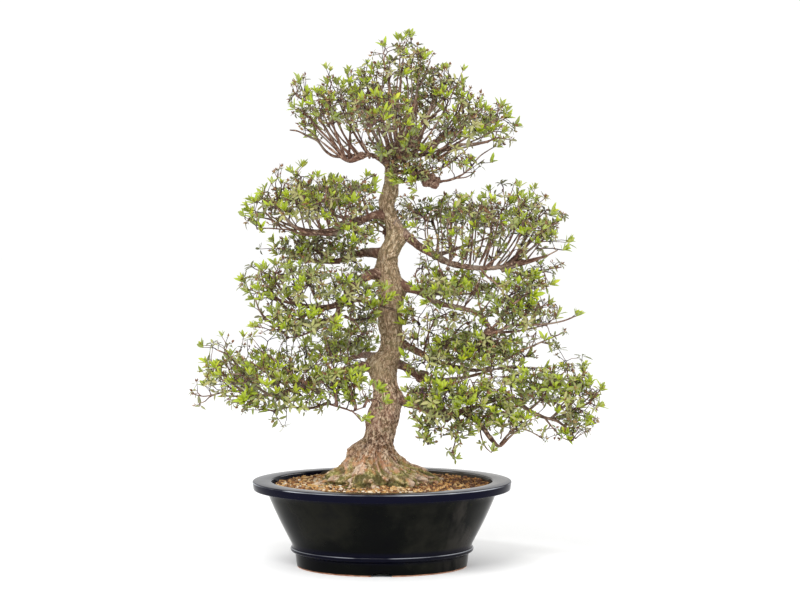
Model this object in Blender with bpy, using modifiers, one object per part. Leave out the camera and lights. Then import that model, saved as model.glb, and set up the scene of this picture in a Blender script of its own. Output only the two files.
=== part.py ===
"""Satsuki azalea bonsai in an oval glazed pot, with its soil and drain screens.

Sizes are in metres, +Z is up, and the foot of the pot stands on Z = 0. Limbs and leaf masses are listed
in millimetres as they stand in the front view, and placed() carries them to their own depth.
"""

import math
import random

import bmesh
import bpy
import numpy as np
from mathutils import Matrix, Vector
from mathutils.bvhtree import BVHTree

MM = 0.001
SEED = 11

# The front view: the tree is read from this far away and this high.
EYE_X = 29 * MM
EYE_HEIGHT = 620 * MM
EYE_DISTANCE = 3420 * MM

# The pot, as an oval turned shape that is shallower than it is wide.
POT_DEPTH_SHARE = 0.79
POT_STEPS = 32
RIM_RADIUS = 209 * MM
RIM_TOP = 138 * MM
RIM_BAND = 14 * MM
MOUTH_RADIUS = 178 * MM
NECK_RADIUS = 186 * MM
BEAD_RADIUS = 148 * MM
BEAD_BOTTOM = 24 * MM
BEAD_HEIGHT = 8 * MM
FOOT_RADIUS = 138 * MM
FOOT_INSIDE = 124 * MM
FOOT_RECESS = 9 * MM
FLOOR_TOP = 20 * MM
POT_WALL = 14 * MM
FLOOR_ROUNDING = 6 * MM
EDGE = 2.5 * MM
NOTCH_WIDTH = 34 * MM
NOTCH_HEIGHT = 6 * MM
CUTTER_LENGTH = 500 * MM
DRAIN_RADIUS = 13 * MM
DRAIN_X = 62 * MM
SCREEN_RADIUS = 21 * MM
SCREEN_THICKNESS = 1.2 * MM
SCREEN_BARS = 3
SCREEN_BAR_WIDTH = 3 * MM
SCREEN_BAR_HEIGHT = 1.4 * MM
SCREEN_BAR_LENGTH = 31 * MM
SCREEN_BAR_PITCH = 9 * MM
SCREEN_POCKET_DEPTH = 4 * MM

# The soil, mounded towards the trunk, with its top in coarse grains.
SOIL_EDGE_TOP = 129 * MM
SOIL_MOUND = 6 * MM
SOIL_RINGS = 4
SOIL_SIDES = 32
SOIL_SIDE_GAP = 1.2 * MM
SOIL_BOTTOM_ROUNDING = 9 * MM
SOIL_INNERMOST = 0.27
GRAIN_RELIEF = 1.6 * MM
SEAT_GAP = 0.35 * MM
ROOT_HOLE_GAP = 2.6 * MM

# The trunk. Each station is x, y, z, radius across, depth share and root depth, in millimetres.
TRUNK_SIDES = 14
ROOT_LOBES = 7
ROOT_TURN = 0.5
UNEVEN_LOBES = 3
UNEVEN_TURN = 1.1
UNEVEN_SHARE = 0.4
TRUNK = (
    (-8, 0, 112, 86, 0.80, 0.13),
    (-8, 0, 136, 88, 0.80, 0.13),
    (-8, 0, 146, 82, 0.82, 0.14),
    (-8, 0, 157, 68, 0.85, 0.15),
    (-11, 0, 167, 55, 0.88, 0.14),
    (-13, 0, 177, 43, 0.92, 0.12),
    (-15, 0, 188, 36, 0.96, 0.09),
    (-11, 0, 199, 30, 1.00, 0.06),
    (-4, 0, 212, 24.5, 1.00, 0.04),
    (1, -1, 238, 25.5, 1.00, 0.03),
    (7, -2, 269, 24.5, 0.98, 0.03),
    (4, -3, 292, 20.5, 1.00, 0.03),
    (0, -3, 316, 23, 0.98, 0.03),
    (0, -2, 331, 25, 0.95, 0.03),
    (12, 0, 350, 18, 1.00, 0.03),
    (15, 2, 374, 18.5, 1.00, 0.03),
    (12, 4, 398, 19.5, 1.00, 0.03),
    (14, 4, 422, 20.5, 1.00, 0.03),
    (15, 3, 446, 22, 0.95, 0.03),
    (10, 1, 468, 20, 0.95, 0.03),
    (8, -1, 490, 17, 1.00, 0.03),
    (12, -2, 509, 17, 1.00, 0.03),
    (21, -2, 529, 17, 1.00, 0.03),
    (21, 0, 546, 14.5, 1.00, 0.03),
    (12, 1, 563, 14, 1.00, 0.03),
    (8, 1, 582, 13, 1.00, 0.03),
    (13, 0, 601, 13.5, 1.00, 0.03),
    (15, 0, 620, 11.5, 1.00, 0.03),
    (14, 0, 640, 9, 1.00, 0.03),
)
FLUTED_STATIONS = 8

# The limbs that grow out of the trunk, as x, y, z and radius in millimetres, from the wood outwards.
LIMBS = {
    "low_left": (
        (-4, 0, 318, 12), (-32, -12, 322, 11), (-56, -23, 316, 9.5), (-84, -35, 303, 8.5),
        (-145, -46, 284, 6.5), (-200, -40, 274, 4.5), (-250, -30, 274, 2.6),
    ),
    "back_left": (
        (-4, 8, 334, 10), (-22, 40, 340, 9), (-40, 80, 338, 7.5), (-90, 150, 326, 4),
    ),
    "mid_left": (
        (4, 0, 470, 12), (-20, -10, 469, 11), (-44, -25, 450, 9.5), (-66, -37, 427, 8.5),
        (-88, -45, 418, 7.5), (-140, -50, 422, 5.5), (-196, -36, 440, 2.8),
    ),
    "mid_left_fork": (
        (-66, -37, 427, 6.5), (-76, -54, 402, 6), (-126, -72, 388, 4.4), (-184, -62, 404, 2.6),
    ),
    "mid_left_high": (
        (6, 4, 502, 12), (-16, 17, 505, 11), (-42, 35, 502, 9.5), (-66, 51, 493, 8),
        (-110, 58, 491, 6), (-158, 48, 498, 3),
    ),
    "high_left": (
        (10, 0, 566, 10.5), (-12, -8, 565, 9.5), (-36, -17, 555, 8.5), (-62, -22, 545, 8),
        (-104, -23, 539, 6.2), (-146, -16, 548, 4.2), (-176, -10, 562, 2.6),
    ),
    "high_left_fork": (
        (-36, -17, 555, 6.5), (-46, 14, 560, 6), (-66, 48, 562, 5), (-118, 90, 576, 2.8),
    ),
    "high_back": (
        (14, 2, 498, 10), (13, 40, 511, 8.5), (8, 84, 520, 6), (4, 124, 536, 3),
    ),
    "crown_left": (
        (14, 0, 636, 8.5), (2, -9, 650, 8), (-16, -19, 661, 7.5), (-36, -28, 661, 7),
        (-54, -34, 652, 6.5), (-80, -34, 669, 5), (-124, -24, 706, 2.6),
    ),
    "crown_leader": (
        (14, 0, 632, 9), (21, 4, 656, 8.5), (29, 8, 682, 7.5), (29, 8, 716, 6),
        (26, 6, 750, 4.6), (32, 2, 790, 2.6),
    ),
    "crown_mid_left": (
        (21, 4, 656, 6), (-2, 15, 678, 5.5), (-16, 23, 704, 4.4), (-28, 26, 748, 2.6),
    ),
    "crown_right": (
        (21, 4, 652, 8), (46, 1, 659, 7.5), (70, -7, 662, 7), (92, -14, 658, 6.5),
        (116, -18, 669, 5.4), (168, -12, 681, 2.8),
    ),
    "crown_high_right": (
        (29, 8, 684, 6), (54, 17, 702, 5.5), (80, 22, 723, 4.4), (108, 24, 741, 2.6),
    ),
    "crown_back": (
        (21, 4, 656, 6.5), (22, 40, 668, 6), (26, 76, 684, 5), (30, 112, 706, 3),
    ),
    "crown_front": (
        (21, 4, 660, 6), (14, -34, 672, 5.4), (6, -66, 690, 4.4), (0, -98, 714, 2.6),
    ),
    "crown_burl": (
        (14, 0, 632, 7), (40, -14, 634, 7), (62, -24, 627, 9.5), (80, -28, 619, 10.5),
        (90, -28, 617, 5), (128, -20, 630, 2.4), (164, -12, 654, 1.6),
    ),
    "high_right": (
        (18, 0, 548, 13), (38, -5, 533, 11.5), (60, -11, 515, 10.5), (86, -19, 500, 9.5),
        (112, -24, 487, 9), (160, -28, 480, 7.5), (204, -24, 486, 5.5), (250, -12, 520, 2.8),
    ),
    "high_right_tip": (
        (200, -24, 485, 5), (232, -34, 492, 4), (264, -38, 500, 2.8),
    ),
    "high_right_back": (
        (86, -19, 500, 6.5), (98, 16, 504, 6), (122, 48, 512, 5), (186, 84, 534, 2.8),
    ),
    "mid_right": (
        (22, 0, 456, 12), (46, -6, 447, 10), (68, -15, 439, 9), (90, -22, 424, 8),
        (146, -30, 411, 6.5), (164, -28, 397, 6), (180, -26, 380, 5.5), (212, -19, 378, 4),
        (262, -10, 388, 2),
    ),
    "mid_right_back": (
        (68, -15, 439, 6), (82, 20, 440, 5.5), (106, 54, 438, 4.6), (168, 96, 440, 2.6),
    ),
    "low_mid_right": (
        (20, 2, 364, 11), (40, 2, 355, 9), (62, 2, 343, 8), (86, 2, 331, 7.5),
        (144, -4, 316, 5.5), (206, -10, 320, 2.8),
    ),
    "back_right": (
        (14, 4, 330, 11), (36, 30, 322, 11), (58, 60, 307, 9.5), (86, 90, 300, 8),
        (132, 118, 304, 5.8), (186, 124, 318, 3),
    ),
    "low_right": (
        (14, 0, 276, 13), (36, -9, 265, 11), (60, -20, 257, 9.5), (84, -32, 251, 9),
        (132, -46, 250, 7.5), (196, -40, 272, 6), (226, -34, 257, 5.6), (262, -30, 239, 4.8),
        (310, -34, 240, 2.8),
    ),
    "low_right_hook": (
        (132, -46, 250, 6.5), (158, -57, 228, 6.5), (178, -60, 202, 6), (190, -62, 193, 5),
        (206, -60, 208, 3.4), (236, -54, 234, 2.4),
    ),
    "low_right_tip": (
        (284, -31, 238, 3.6), (310, -20, 252, 3.2), (344, -8, 282, 2),
    ),
}
THIN_LIMBS = (
    "mid_left_fork", "high_left_fork", "crown_mid_left", "crown_high_right", "crown_back",
    "crown_front", "high_right_tip", "high_right_back", "mid_right_back", "low_right_tip",
    "low_right_hook", "back_left", "high_back",
)

# The leaf masses: the limb that carries each, its middle and half sizes in millimetres, and how many
# leafy sprays and how many whorls of leaves it holds.
LEAF_MASSES = (
    ("crown_left", "crown_left", (-86, -34, 724), (62, 66, 54), 3, 9),
    ("crown_inner_left", "crown_mid_left", (-26, 30, 766), (46, 52, 58), 2, 7),
    ("crown_top", "crown_leader", (35, 2, 794), (46, 52, 60), 2, 7),
    ("crown_upper_right", "crown_high_right", (92, 30, 758), (52, 54, 52), 2, 7),
    ("crown_right", "crown_right", (144, -16, 708), (62, 62, 48), 3, 9),
    ("crown_front", "crown_front", (6, -100, 716), (54, 44, 50), 2, 6),
    ("crown_back", "crown_back", (34, 116, 724), (66, 48, 52), 2, 6),
    ("crown_low", "crown_burl", (122, -24, 650), (44, 34, 22), 1, 3),
    ("high_left", "high_left", (-126, -34, 576), (92, 74, 52), 3, 12),
    ("high_left_back", "high_left_fork", (-84, 92, 592), (60, 48, 38), 1, 4),
    ("high_back", "high_back", (2, 134, 556), (58, 46, 42), 1, 4),
    ("mid_left_high", "mid_left_high", (-106, 62, 508), (82, 56, 34), 2, 7),
    ("mid_left", "mid_left", (-136, -56, 450), (86, 58, 44), 3, 9),
    ("mid_left_low", "mid_left_fork", (-132, -84, 390), (74, 46, 34), 1, 4),
    ("low_left", "low_left", (-194, -42, 302), (106, 84, 50), 3, 12),
    ("low_left_near", "low_left", (-70, -88, 300), (48, 46, 36), 1, 4),
    ("back_left", "back_left", (-64, 146, 350), (62, 52, 42), 1, 4),
    ("high_right", "high_right", (188, -34, 548), (102, 72, 58), 3, 13),
    ("high_right_back", "high_right_back", (106, 82, 562), (66, 54, 44), 2, 6),
    ("high_right_low", "high_right_tip", (228, -46, 452), (42, 36, 30), 1, 3),
    ("mid_right", "mid_right", (234, -18, 408), (66, 52, 34), 2, 6),
    ("mid_right_near", "mid_right", (94, -44, 446), (50, 44, 34), 1, 4),
    ("mid_right_back", "mid_right_back", (138, 102, 450), (58, 44, 36), 1, 4),
    ("low_mid_right", "low_mid_right", (146, -4, 346), (88, 58, 36), 3, 9),
    ("back_right", "back_right", (150, 142, 342), (78, 50, 40), 2, 6),
    ("low_right_near", "low_right", (96, -88, 270), (64, 52, 40), 2, 7),
    ("low_right_far", "low_right_tip", (286, -34, 280), (66, 60, 46), 3, 9),
    ("low_right_hook", "low_right_hook", (196, -72, 234), (54, 38, 36), 1, 4),
)

# How the tips of a leaf mass are spread over it and through it.
GOLDEN_ANGLE = math.pi * (3 - math.sqrt(5))
LOWEST_TIP = -0.45
TIP_REACH = (1.0, 0.66, 0.93, 0.80)
TIP_JITTER = 5 * MM

# Where a spray's stem may leave its limb, and how it grows from there.
SITE_SHARES = (0.15, 0.5, 0.85)
SITE_NEAR = 12 * MM
SITE_CROWDING = 30 * MM
SITE_TRUNKWARD = 1.2 * MM
SEAT_SEARCH = 35 * MM
STEM_RADIUS = 2.1 * MM
STEM_END_RADIUS = 1.2 * MM
STEM_COLLAR = 5 * MM
STEM_RISE = 2 * MM
STEM_CLEARANCE = 0.3 * MM
HUB_SHARE = 0.48
LOWER_TWIG_SHARE = 0.4
SHORTEST_STEM = 6 * MM
STUB_STEM = 10 * MM
TWIG_SIDES = 3
TWIG_RADIUS = 1.0 * MM
TWIG_END_RADIUS = 0.7 * MM
TWIG_ROOT = 0.4 * MM
TWIG_OUT_OF_STEM = 4 * MM

# A whorl of leaves. Its axis follows the twig, leans out of the mass and turns up to the light.
LEAVES_IN_WHORL = (4, 5, 5)
LEAF_LENGTH = (18 * MM, 23 * MM)
LEAF_WIDTH_SHARE = 0.34
LEAF_WIDEST = 0.56
LEAF_RISE = (15, 55)
LEAF_ARCH = 0.05
LEAF_CLEARANCE = 0.9 * MM
WHORL_HALF_HEIGHT = 0.75 * MM
WHORL_NOTCH = 1.15 * MM
WHORL_ALONG_TWIG = 0.7
WHORL_OUTWARD = 0.3
WHORL_UPWARD = 0.45
PLACING_TRIES = 14
PLACING_SHIFT = 9 * MM

COLOURS = {
    "glaze": ((0.012, 0.014, 0.022), 0.12, 0.0),
    "soil": ((0.42, 0.24, 0.10), 0.95, 0.0),
    "bark": ((0.30, 0.19, 0.12), 0.90, 0.0),
    "leaf": ((0.20, 0.36, 0.05), 0.55, 0.0),
    "screen": ((0.05, 0.05, 0.05), 0.60, 0.0),
}


def placed(x, y, z):
    """A point given in millimetres as the front view shows it, carried to its depth y."""
    share = 1 + y * MM / EYE_DISTANCE
    return Vector((EYE_X + (x * MM - EYE_X) * share, y * MM, EYE_HEIGHT + (z * MM - EYE_HEIGHT) * share))


def clear_scene():
    for obj in list(bpy.data.objects):
        bpy.data.objects.remove(obj)


def new_collection(name):
    collection = bpy.data.collections.new(name)
    bpy.context.scene.collection.children.link(collection)
    return collection


def finish(obj, name):
    """Gives an object the named material, with the photograph's colour, roughness and metallic value."""
    material = bpy.data.materials.get(name)
    if material is None:
        colour, roughness, metallic = COLOURS[name]
        material = bpy.data.materials.new(name)
        material.use_nodes = True
        shader = material.node_tree.nodes["Principled BSDF"]
        shader.inputs["Base Color"].default_value = (*colour, 1)
        shader.inputs["Roughness"].default_value = roughness
        shader.inputs["Metallic"].default_value = metallic
    obj.data.materials.clear()
    obj.data.materials.append(material)


def mesh_object(name, mesh, collection):
    obj = bpy.data.objects.new(name, mesh)
    collection.objects.link(obj)
    return obj


def evaluated_mesh(obj):
    """The object's mesh with its modifiers, its scale and its place worked in."""
    bpy.context.view_layer.update()
    evaluated = obj.evaluated_get(bpy.context.evaluated_depsgraph_get())
    mesh = bpy.data.meshes.new_from_object(evaluated)
    mesh.transform(obj.matrix_world)
    return mesh


def weld(mesh):
    work = bmesh.new()
    work.from_mesh(mesh)
    bmesh.ops.remove_doubles(work, verts=work.verts, dist=0.001 * MM)
    work.to_mesh(mesh)
    work.free()


def limb_tube(name, points, radii, around, collection):
    """A tapering round limb along its points, as a closed mesh."""
    curve = bpy.data.curves.new(name, "CURVE")
    curve.dimensions = "3D"
    curve.bevel_depth = 1.0
    curve.bevel_resolution = around
    curve.use_fill_caps = True
    spline = curve.splines.new("POLY")
    spline.points.add(len(points) - 1)
    for spot, place, radius in zip(spline.points, points, radii):
        spot.co = (*place, 1)
        spot.radius = radius
    tube = mesh_object(name + "_curve", curve, collection)
    mesh = evaluated_mesh(tube)
    weld(mesh)
    bpy.data.objects.remove(tube)
    return mesh_object(name, mesh, collection)


def cut(target, cutters, operation="DIFFERENCE", solver="EXACT"):
    """Cuts or joins every object of a collection into the target, and keeps the result as its mesh."""
    modifier = target.modifiers.new("join", "BOOLEAN")
    modifier.operation = operation
    modifier.operand_type = "COLLECTION"
    modifier.collection = cutters
    modifier.solver = solver
    mesh = evaluated_mesh(target)
    target.modifiers.clear()
    target.matrix_world = Matrix.Identity(4)
    target.data = mesh
    for obj in list(cutters.objects):
        bpy.data.objects.remove(obj)


def turned(name, profile, collection):
    """A closed profile of radius and height turned round Z, then drawn in along Y to the pot's oval."""
    mesh = bpy.data.meshes.new(name)
    points = [(radius, 0, height) for radius, height in profile]
    closed = [(i, i + 1) for i in range(len(points) - 1)]
    mesh.from_pydata(points, closed, [])
    obj = mesh_object(name, mesh, collection)
    screw = obj.modifiers.new("turn", "SCREW")
    screw.steps = POT_STEPS
    screw.render_steps = POT_STEPS
    screw.use_merge_vertices = True
    screw.merge_threshold = 0.05 * MM
    screw.use_normal_calculate = True
    obj.scale.y = POT_DEPTH_SHARE
    obj.data = evaluated_mesh(obj)
    obj.modifiers.clear()
    obj.scale.y = 1
    return obj


def inner_radius(height):
    """The pot's inside radius at a height, down a straight wall from the mouth to the floor."""
    floor_radius = BEAD_RADIUS - POT_WALL
    share = (height - FLOOR_TOP) / (RIM_TOP - FLOOR_TOP)
    return floor_radius + (MOUTH_RADIUS - floor_radius) * share


def make_pot(collection, cutters):
    bead_top = BEAD_BOTTOM + BEAD_HEIGHT
    profile = (
        (0, FLOOR_TOP),
        (inner_radius(FLOOR_TOP) - FLOOR_ROUNDING, FLOOR_TOP),
        (inner_radius(FLOOR_TOP + FLOOR_ROUNDING), FLOOR_TOP + FLOOR_ROUNDING),
        (inner_radius(RIM_TOP - EDGE), RIM_TOP - EDGE),
        (MOUTH_RADIUS + EDGE, RIM_TOP),
        (RIM_RADIUS - EDGE, RIM_TOP),
        (RIM_RADIUS, RIM_TOP - EDGE),
        (RIM_RADIUS - EDGE, RIM_TOP - RIM_BAND),
        (NECK_RADIUS, RIM_TOP - RIM_BAND - EDGE),
        (BEAD_RADIUS - EDGE, bead_top + EDGE),
        (BEAD_RADIUS, bead_top - EDGE),
        (BEAD_RADIUS, BEAD_BOTTOM + EDGE),
        (FOOT_RADIUS + EDGE, BEAD_BOTTOM - EDGE),
        (FOOT_RADIUS + EDGE, 2 * EDGE),
        (FOOT_RADIUS - EDGE, 0),
        (FOOT_INSIDE, 0),
        (FOOT_INSIDE - EDGE, FOOT_RECESS),
        (0, FOOT_RECESS),
    )
    pot = turned("pot", tuple(reversed(profile)), collection)
    for turn in (0, math.pi / 2):
        bpy.ops.mesh.primitive_cylinder_add(vertices=12, radius=1, depth=1)
        notch = bpy.context.object
        notch.name = "notch"
        notch.rotation_euler = (math.pi / 2, 0, turn)
        notch.scale = (NOTCH_WIDTH / 2, NOTCH_HEIGHT, CUTTER_LENGTH)
        move_to(notch, cutters)
    for side in (-1, 1):
        bpy.ops.mesh.primitive_cylinder_add(vertices=16, radius=DRAIN_RADIUS, depth=CUTTER_LENGTH)
        drain = bpy.context.object
        drain.name = "drain"
        drain.location = (side * DRAIN_X, 0, 0)
        move_to(drain, cutters)
    cut(pot, cutters)
    return pot


def centre_on_origin(collection):
    """Moves the whole model so that the middle of its bounding box is over the origin."""
    bpy.context.view_layer.update()
    corners = [obj.matrix_world @ vert.co for obj in collection.objects for vert in obj.data.vertices]
    shift = [(max(c[k] for c in corners) + min(c[k] for c in corners)) / 2 for k in (0, 1)]
    for obj in collection.objects:
        obj.location -= Vector((*shift, 0))


def move_to(obj, collection):
    for other in list(obj.users_collection):
        other.objects.unlink(obj)
    collection.objects.link(obj)


def make_screen(name, x, collection, joined):
    """The plastic disc that keeps the soil in over a drain hole, with its ribs."""
    base = FLOOR_TOP + SEAT_GAP
    bpy.ops.mesh.primitive_cylinder_add(vertices=16, radius=SCREEN_RADIUS, depth=SCREEN_THICKNESS)
    screen = bpy.context.object
    screen.name = name
    screen.location = (x, 0, base + SCREEN_THICKNESS / 2)
    move_to(screen, collection)
    for step in range(SCREEN_BARS):
        bpy.ops.mesh.primitive_cube_add(size=1)
        bar = bpy.context.object
        bar.scale = (SCREEN_BAR_WIDTH, SCREEN_BAR_LENGTH, SCREEN_BAR_HEIGHT)
        offset = (step - (SCREEN_BARS - 1) / 2) * SCREEN_BAR_PITCH
        bar.location = (x + offset, 0, base + SCREEN_THICKNESS)
        move_to(bar, joined)
    cut(screen, joined, "UNION")
    return screen


def station_ring(station, sides, grow=0.0):
    """The trunk's outline at one station: an oval with root lobes, grown outwards by a margin."""
    x, y, z, radius, depth_share, lobe = station
    middle = placed(x, y, z)
    ring = []
    for step in range(sides):
        angle = 2 * math.pi * step / sides
        roots = math.cos(ROOT_LOBES * angle + ROOT_TURN)
        uneven = math.cos(UNEVEN_LOBES * angle + UNEVEN_TURN)
        swell = 1 + lobe * (roots + UNEVEN_SHARE * uneven)
        reach = radius * MM * swell + grow
        ring.append(middle + Vector((reach * math.cos(angle), reach * depth_share * math.sin(angle), 0)))
    return ring


def loft(name, rings, collection):
    """A closed skin through the rings. A ring may have half as many points as the one below it."""
    work = bmesh.new()
    rows = [[work.verts.new(point) for point in ring] for ring in rings]
    for low, high in zip(rows, rows[1:]):
        ratio = len(low) // len(high)
        count = len(high)
        for i in range(count):
            after = (i + 1) % count
            corners = [low[(i * ratio + k) % len(low)] for k in range(ratio + 1)]
            if ratio == 1:
                work.faces.new((corners[0], corners[1], high[after], high[i]))
            else:
                work.faces.new((corners[0], corners[1], high[i]))
                work.faces.new((corners[1], high[after], high[i]))
                work.faces.new((corners[1], corners[2], high[after]))
    work.faces.new(tuple(reversed(rows[0])))
    work.faces.new(rows[-1])
    bmesh.ops.recalc_face_normals(work, faces=work.faces)
    mesh = bpy.data.meshes.new(name)
    work.to_mesh(mesh)
    work.free()
    return mesh_object(name, mesh, collection)


def limb_route(name):
    """(points, radii) of a limb in metres."""
    stations = LIMBS[name]
    return [placed(x, y, z) for x, y, z, _ in stations], [radius * MM for *_, radius in stations]


def make_trunk(collection, joined):
    rings = []
    for index, station in enumerate(TRUNK):
        sides = 2 * TRUNK_SIDES if index < FLUTED_STATIONS else TRUNK_SIDES
        rings.append(station_ring(station, sides))
    trunk = loft("trunk", rings, collection)
    for name in LIMBS:
        points, radii = limb_route(name)
        limb_tube(name, points, radii, 0 if name in THIN_LIMBS else 1, joined)
    cut(trunk, joined, "UNION", "MANIFOLD")
    return trunk


def soil_top_rings(rng):
    """The soil's top from the pot's wall inwards: mounded towards the trunk, in the relief of its grains."""
    rings = []
    for step in range(SOIL_RINGS + 1):
        share = 1 - (1 - SOIL_INNERMOST) * step / SOIL_RINGS
        ring = oval_ring((inner_radius(SOIL_EDGE_TOP) - SOIL_SIDE_GAP) * share, SOIL_EDGE_TOP)
        for point in ring:
            if step:
                point.z += SOIL_MOUND * (1 - share) + rng.uniform(-1, 1) * GRAIN_RELIEF
        rings.append(ring)
    return rings


def make_soil(collection, cutters):
    """The soil that fills the pot, with a plain hole of the root base's own outline."""
    bottom = FLOOR_TOP + SEAT_GAP
    shoulder = bottom + FLOOR_ROUNDING
    rings = [
        oval_ring(inner_radius(bottom) - SOIL_BOTTOM_ROUNDING, bottom),
        oval_ring(inner_radius(shoulder) - SOIL_SIDE_GAP, shoulder),
    ]
    soil = loft("soil", rings + soil_top_rings(random.Random(SEED)), collection)
    x, y, z, *outline = TRUNK[0]
    hole = [station_ring((x, y, height, *outline), 2 * TRUNK_SIDES, ROOT_HOLE_GAP) for height in (z, 2 * z)]
    for point in hole[0]:
        point.z -= SEAT_GAP
    loft("root_hole", hole, cutters)
    for side in (-1, 1):
        bpy.ops.mesh.primitive_cylinder_add(
            vertices=16, radius=SCREEN_RADIUS + 2 * SEAT_GAP, depth=2 * SCREEN_POCKET_DEPTH
        )
        pocket = bpy.context.object
        pocket.name = "screen_pocket"
        pocket.location = (side * DRAIN_X, 0, FLOOR_TOP)
        move_to(pocket, cutters)
    cut(soil, cutters)
    return soil


def oval_ring(radius, height):
    ring = []
    for step in range(SOIL_SIDES):
        angle = 2 * math.pi * step / SOIL_SIDES
        ring.append(Vector((radius * math.cos(angle), radius * POT_DEPTH_SHARE * math.sin(angle), height)))
    return ring


class Growth:
    """Where wood and leaves already are, as capsules, so that what grows next stays clear of them."""

    def __init__(self):
        self.starts, self.ends, self.radii, self.owners = [], [], [], []

    def add(self, owner, start, end, radius):
        self.starts.append(tuple(start))
        self.ends.append(tuple(end))
        self.radii.append(radius)
        self.owners.append(owner)

    def clearance(self, owner, start, end, radius):
        """The least gap between a capsule and everything that isn't its owner's."""
        a, b = np.array(self.starts), np.array(self.ends)
        others = np.array([name != owner for name in self.owners])
        a, b, radii = a[others], b[others], np.array(self.radii)[others]
        span = b - a
        length_squared = np.maximum((span**2).sum(1), 1e-12)
        least = math.inf
        for share in np.linspace(0, 1, 9):
            spot = np.array(start) + (np.array(end) - np.array(start)) * share
            along = np.clip(((spot - a) * span).sum(1) / length_squared, 0, 1)
            gap = np.linalg.norm(spot - (a + span * along[:, None]), axis=1) - radii - radius
            least = min(least, gap.min())
        return least


def mass_tips(middle, half, count, rng):
    """Points spread evenly over and through a dome-shaped leaf mass."""
    tips = []
    for index in range(count):
        up = 1 - (1 - LOWEST_TIP) * (index + 0.5) / count
        angle = index * GOLDEN_ANGLE
        flat = math.sqrt(1 - up * up)
        reach = TIP_REACH[index % len(TIP_REACH)]
        way = Vector((flat * math.cos(angle), flat * math.sin(angle), up)) * reach
        spot = middle + Vector((way.x * half[0], way.y * half[1], way.z * half[2])) * MM
        tips.append(spot + Vector([rng.uniform(-1, 1) * TIP_JITTER for _ in range(3)]))
    return tips


def sectors(tips, middle, count):
    """The tips in wedges round the middle, as many wedges as there are sprays."""
    ordered = sorted(tips, key=lambda tip: math.atan2(tip.y - middle.y, tip.x - middle.x))
    size = len(ordered) / count
    return [ordered[round(i * size):round((i + 1) * size)] for i in range(count)]


def limb_sites(name):
    """Places along a limb's outer part where a spray may leave it."""
    points, _ = limb_route(name)
    return [a.lerp(b, share) for a, b in zip(points[1:], points[2:]) for share in SITE_SHARES]


def best_site(sites, target, used):
    """The site that is nearest to the target, with a liking for free ones and for those near the trunk."""
    def cost(index):
        crowded = sum(1 for other in used if (other - sites[index]).length < SITE_NEAR)
        return (sites[index] - target).length + SITE_TRUNKWARD * index + SITE_CROWDING * crowded
    return sites[min(range(len(sites)), key=cost)]


def seat_on(wood, site, target):
    """Where a stem that heads from the site for the target leaves the wood, and that face's normal."""
    way = (target - site).normalized()
    spot, normal, _, _ = wood.ray_cast(site + way * SEAT_SEARCH, -way)
    return spot, normal


def stem_route(name, wood, growth, sites, used, target):
    """A stem's points, from its seat on the wood to its hub near the target, clear of what has grown."""
    for _ in range(PLACING_TRIES):
        site = best_site(sites, target - Vector((0, 0, SITE_NEAR)), used)
        used.append(site)
        seat, normal = seat_on(wood, site, target)
        if seat is None:
            continue
        base = seat + normal * SEAT_GAP
        collar = base + normal * STEM_COLLAR
        hub = collar.lerp(target, HUB_SHARE) + Vector((0, 0, STEM_RISE))
        if (hub - collar).length < SHORTEST_STEM:
            hub = collar + (target - site).normalized() * STUB_STEM
        bend = collar.lerp(hub, 0.5) + normal * STEM_RISE
        route = [base, collar, bend, hub]
        gaps = [growth.clearance(name, a, b, STEM_RADIUS) for a, b in zip(route[1:], route[2:])]
        if min(gaps) > STEM_CLEARANCE:
            return route
    return None


def whorl_on_twig(name, root, centre, axis, leaves, collection):
    """A thin twig and the whorl of leaves at its end, as one closed mesh.

    The leaves are one star-shaped blade, cut in to its middle between them. Its underside runs down into
    the twig, which has three sides.
    """
    work = bmesh.new()
    outline = []
    for index, (way, length) in enumerate(leaves):
        flat = (way - axis * way.dot(axis)).normalized()
        side = axis.cross(flat)
        width = length * LEAF_WIDTH_SHARE / 2
        widest = centre + way * length * LEAF_WIDEST + axis * length * LEAF_ARCH
        after = leaves[(index + 1) % len(leaves)][0]
        after_flat = (after - axis * after.dot(axis)).normalized()
        notch = centre + (flat + after_flat).normalized() * WHORL_NOTCH
        outline += [widest - side * width, centre + way * length, widest + side * width, notch]
    rim = [work.verts.new(point) for point in outline]
    top = work.verts.new(centre + axis * WHORL_HALF_HEIGHT)
    twig = (centre - root).normalized()
    first = twig.orthogonal().normalized()
    neck, foot = [], []
    for step in range(TWIG_SIDES):
        out = Matrix.Rotation(2 * math.pi * step / TWIG_SIDES, 3, twig) @ first
        across = (out - axis * out.dot(axis)).normalized()
        neck.append(work.verts.new(centre - axis * WHORL_HALF_HEIGHT + across * TWIG_END_RADIUS))
        foot.append(work.verts.new(root + out * TWIG_RADIUS))

    def nearest_neck(here, after):
        middle = ((here.co + after.co) / 2 - centre)
        flat = middle - axis * middle.dot(axis)
        return max(range(TWIG_SIDES), key=lambda k: flat.dot(neck[k].co - centre))

    edges = list(zip(rim, rim[1:] + rim[:1]))
    owners = [nearest_neck(here, after) for here, after in edges]
    for index, (here, after) in enumerate(edges):
        work.faces.new((top, here, after))
        work.faces.new((neck[owners[index]], after, here))
        if owners[index] != owners[index - 1]:
            work.faces.new((here, neck[owners[index - 1]], neck[owners[index]]))
    for step in range(TWIG_SIDES):
        after = (step + 1) % TWIG_SIDES
        work.faces.new((foot[step], foot[after], neck[after], neck[step]))
    work.faces.new(foot)
    bmesh.ops.recalc_face_normals(work, faces=work.faces)
    mesh = bpy.data.meshes.new(name)
    work.to_mesh(mesh)
    work.free()
    return mesh_object(name, mesh, collection)


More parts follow.
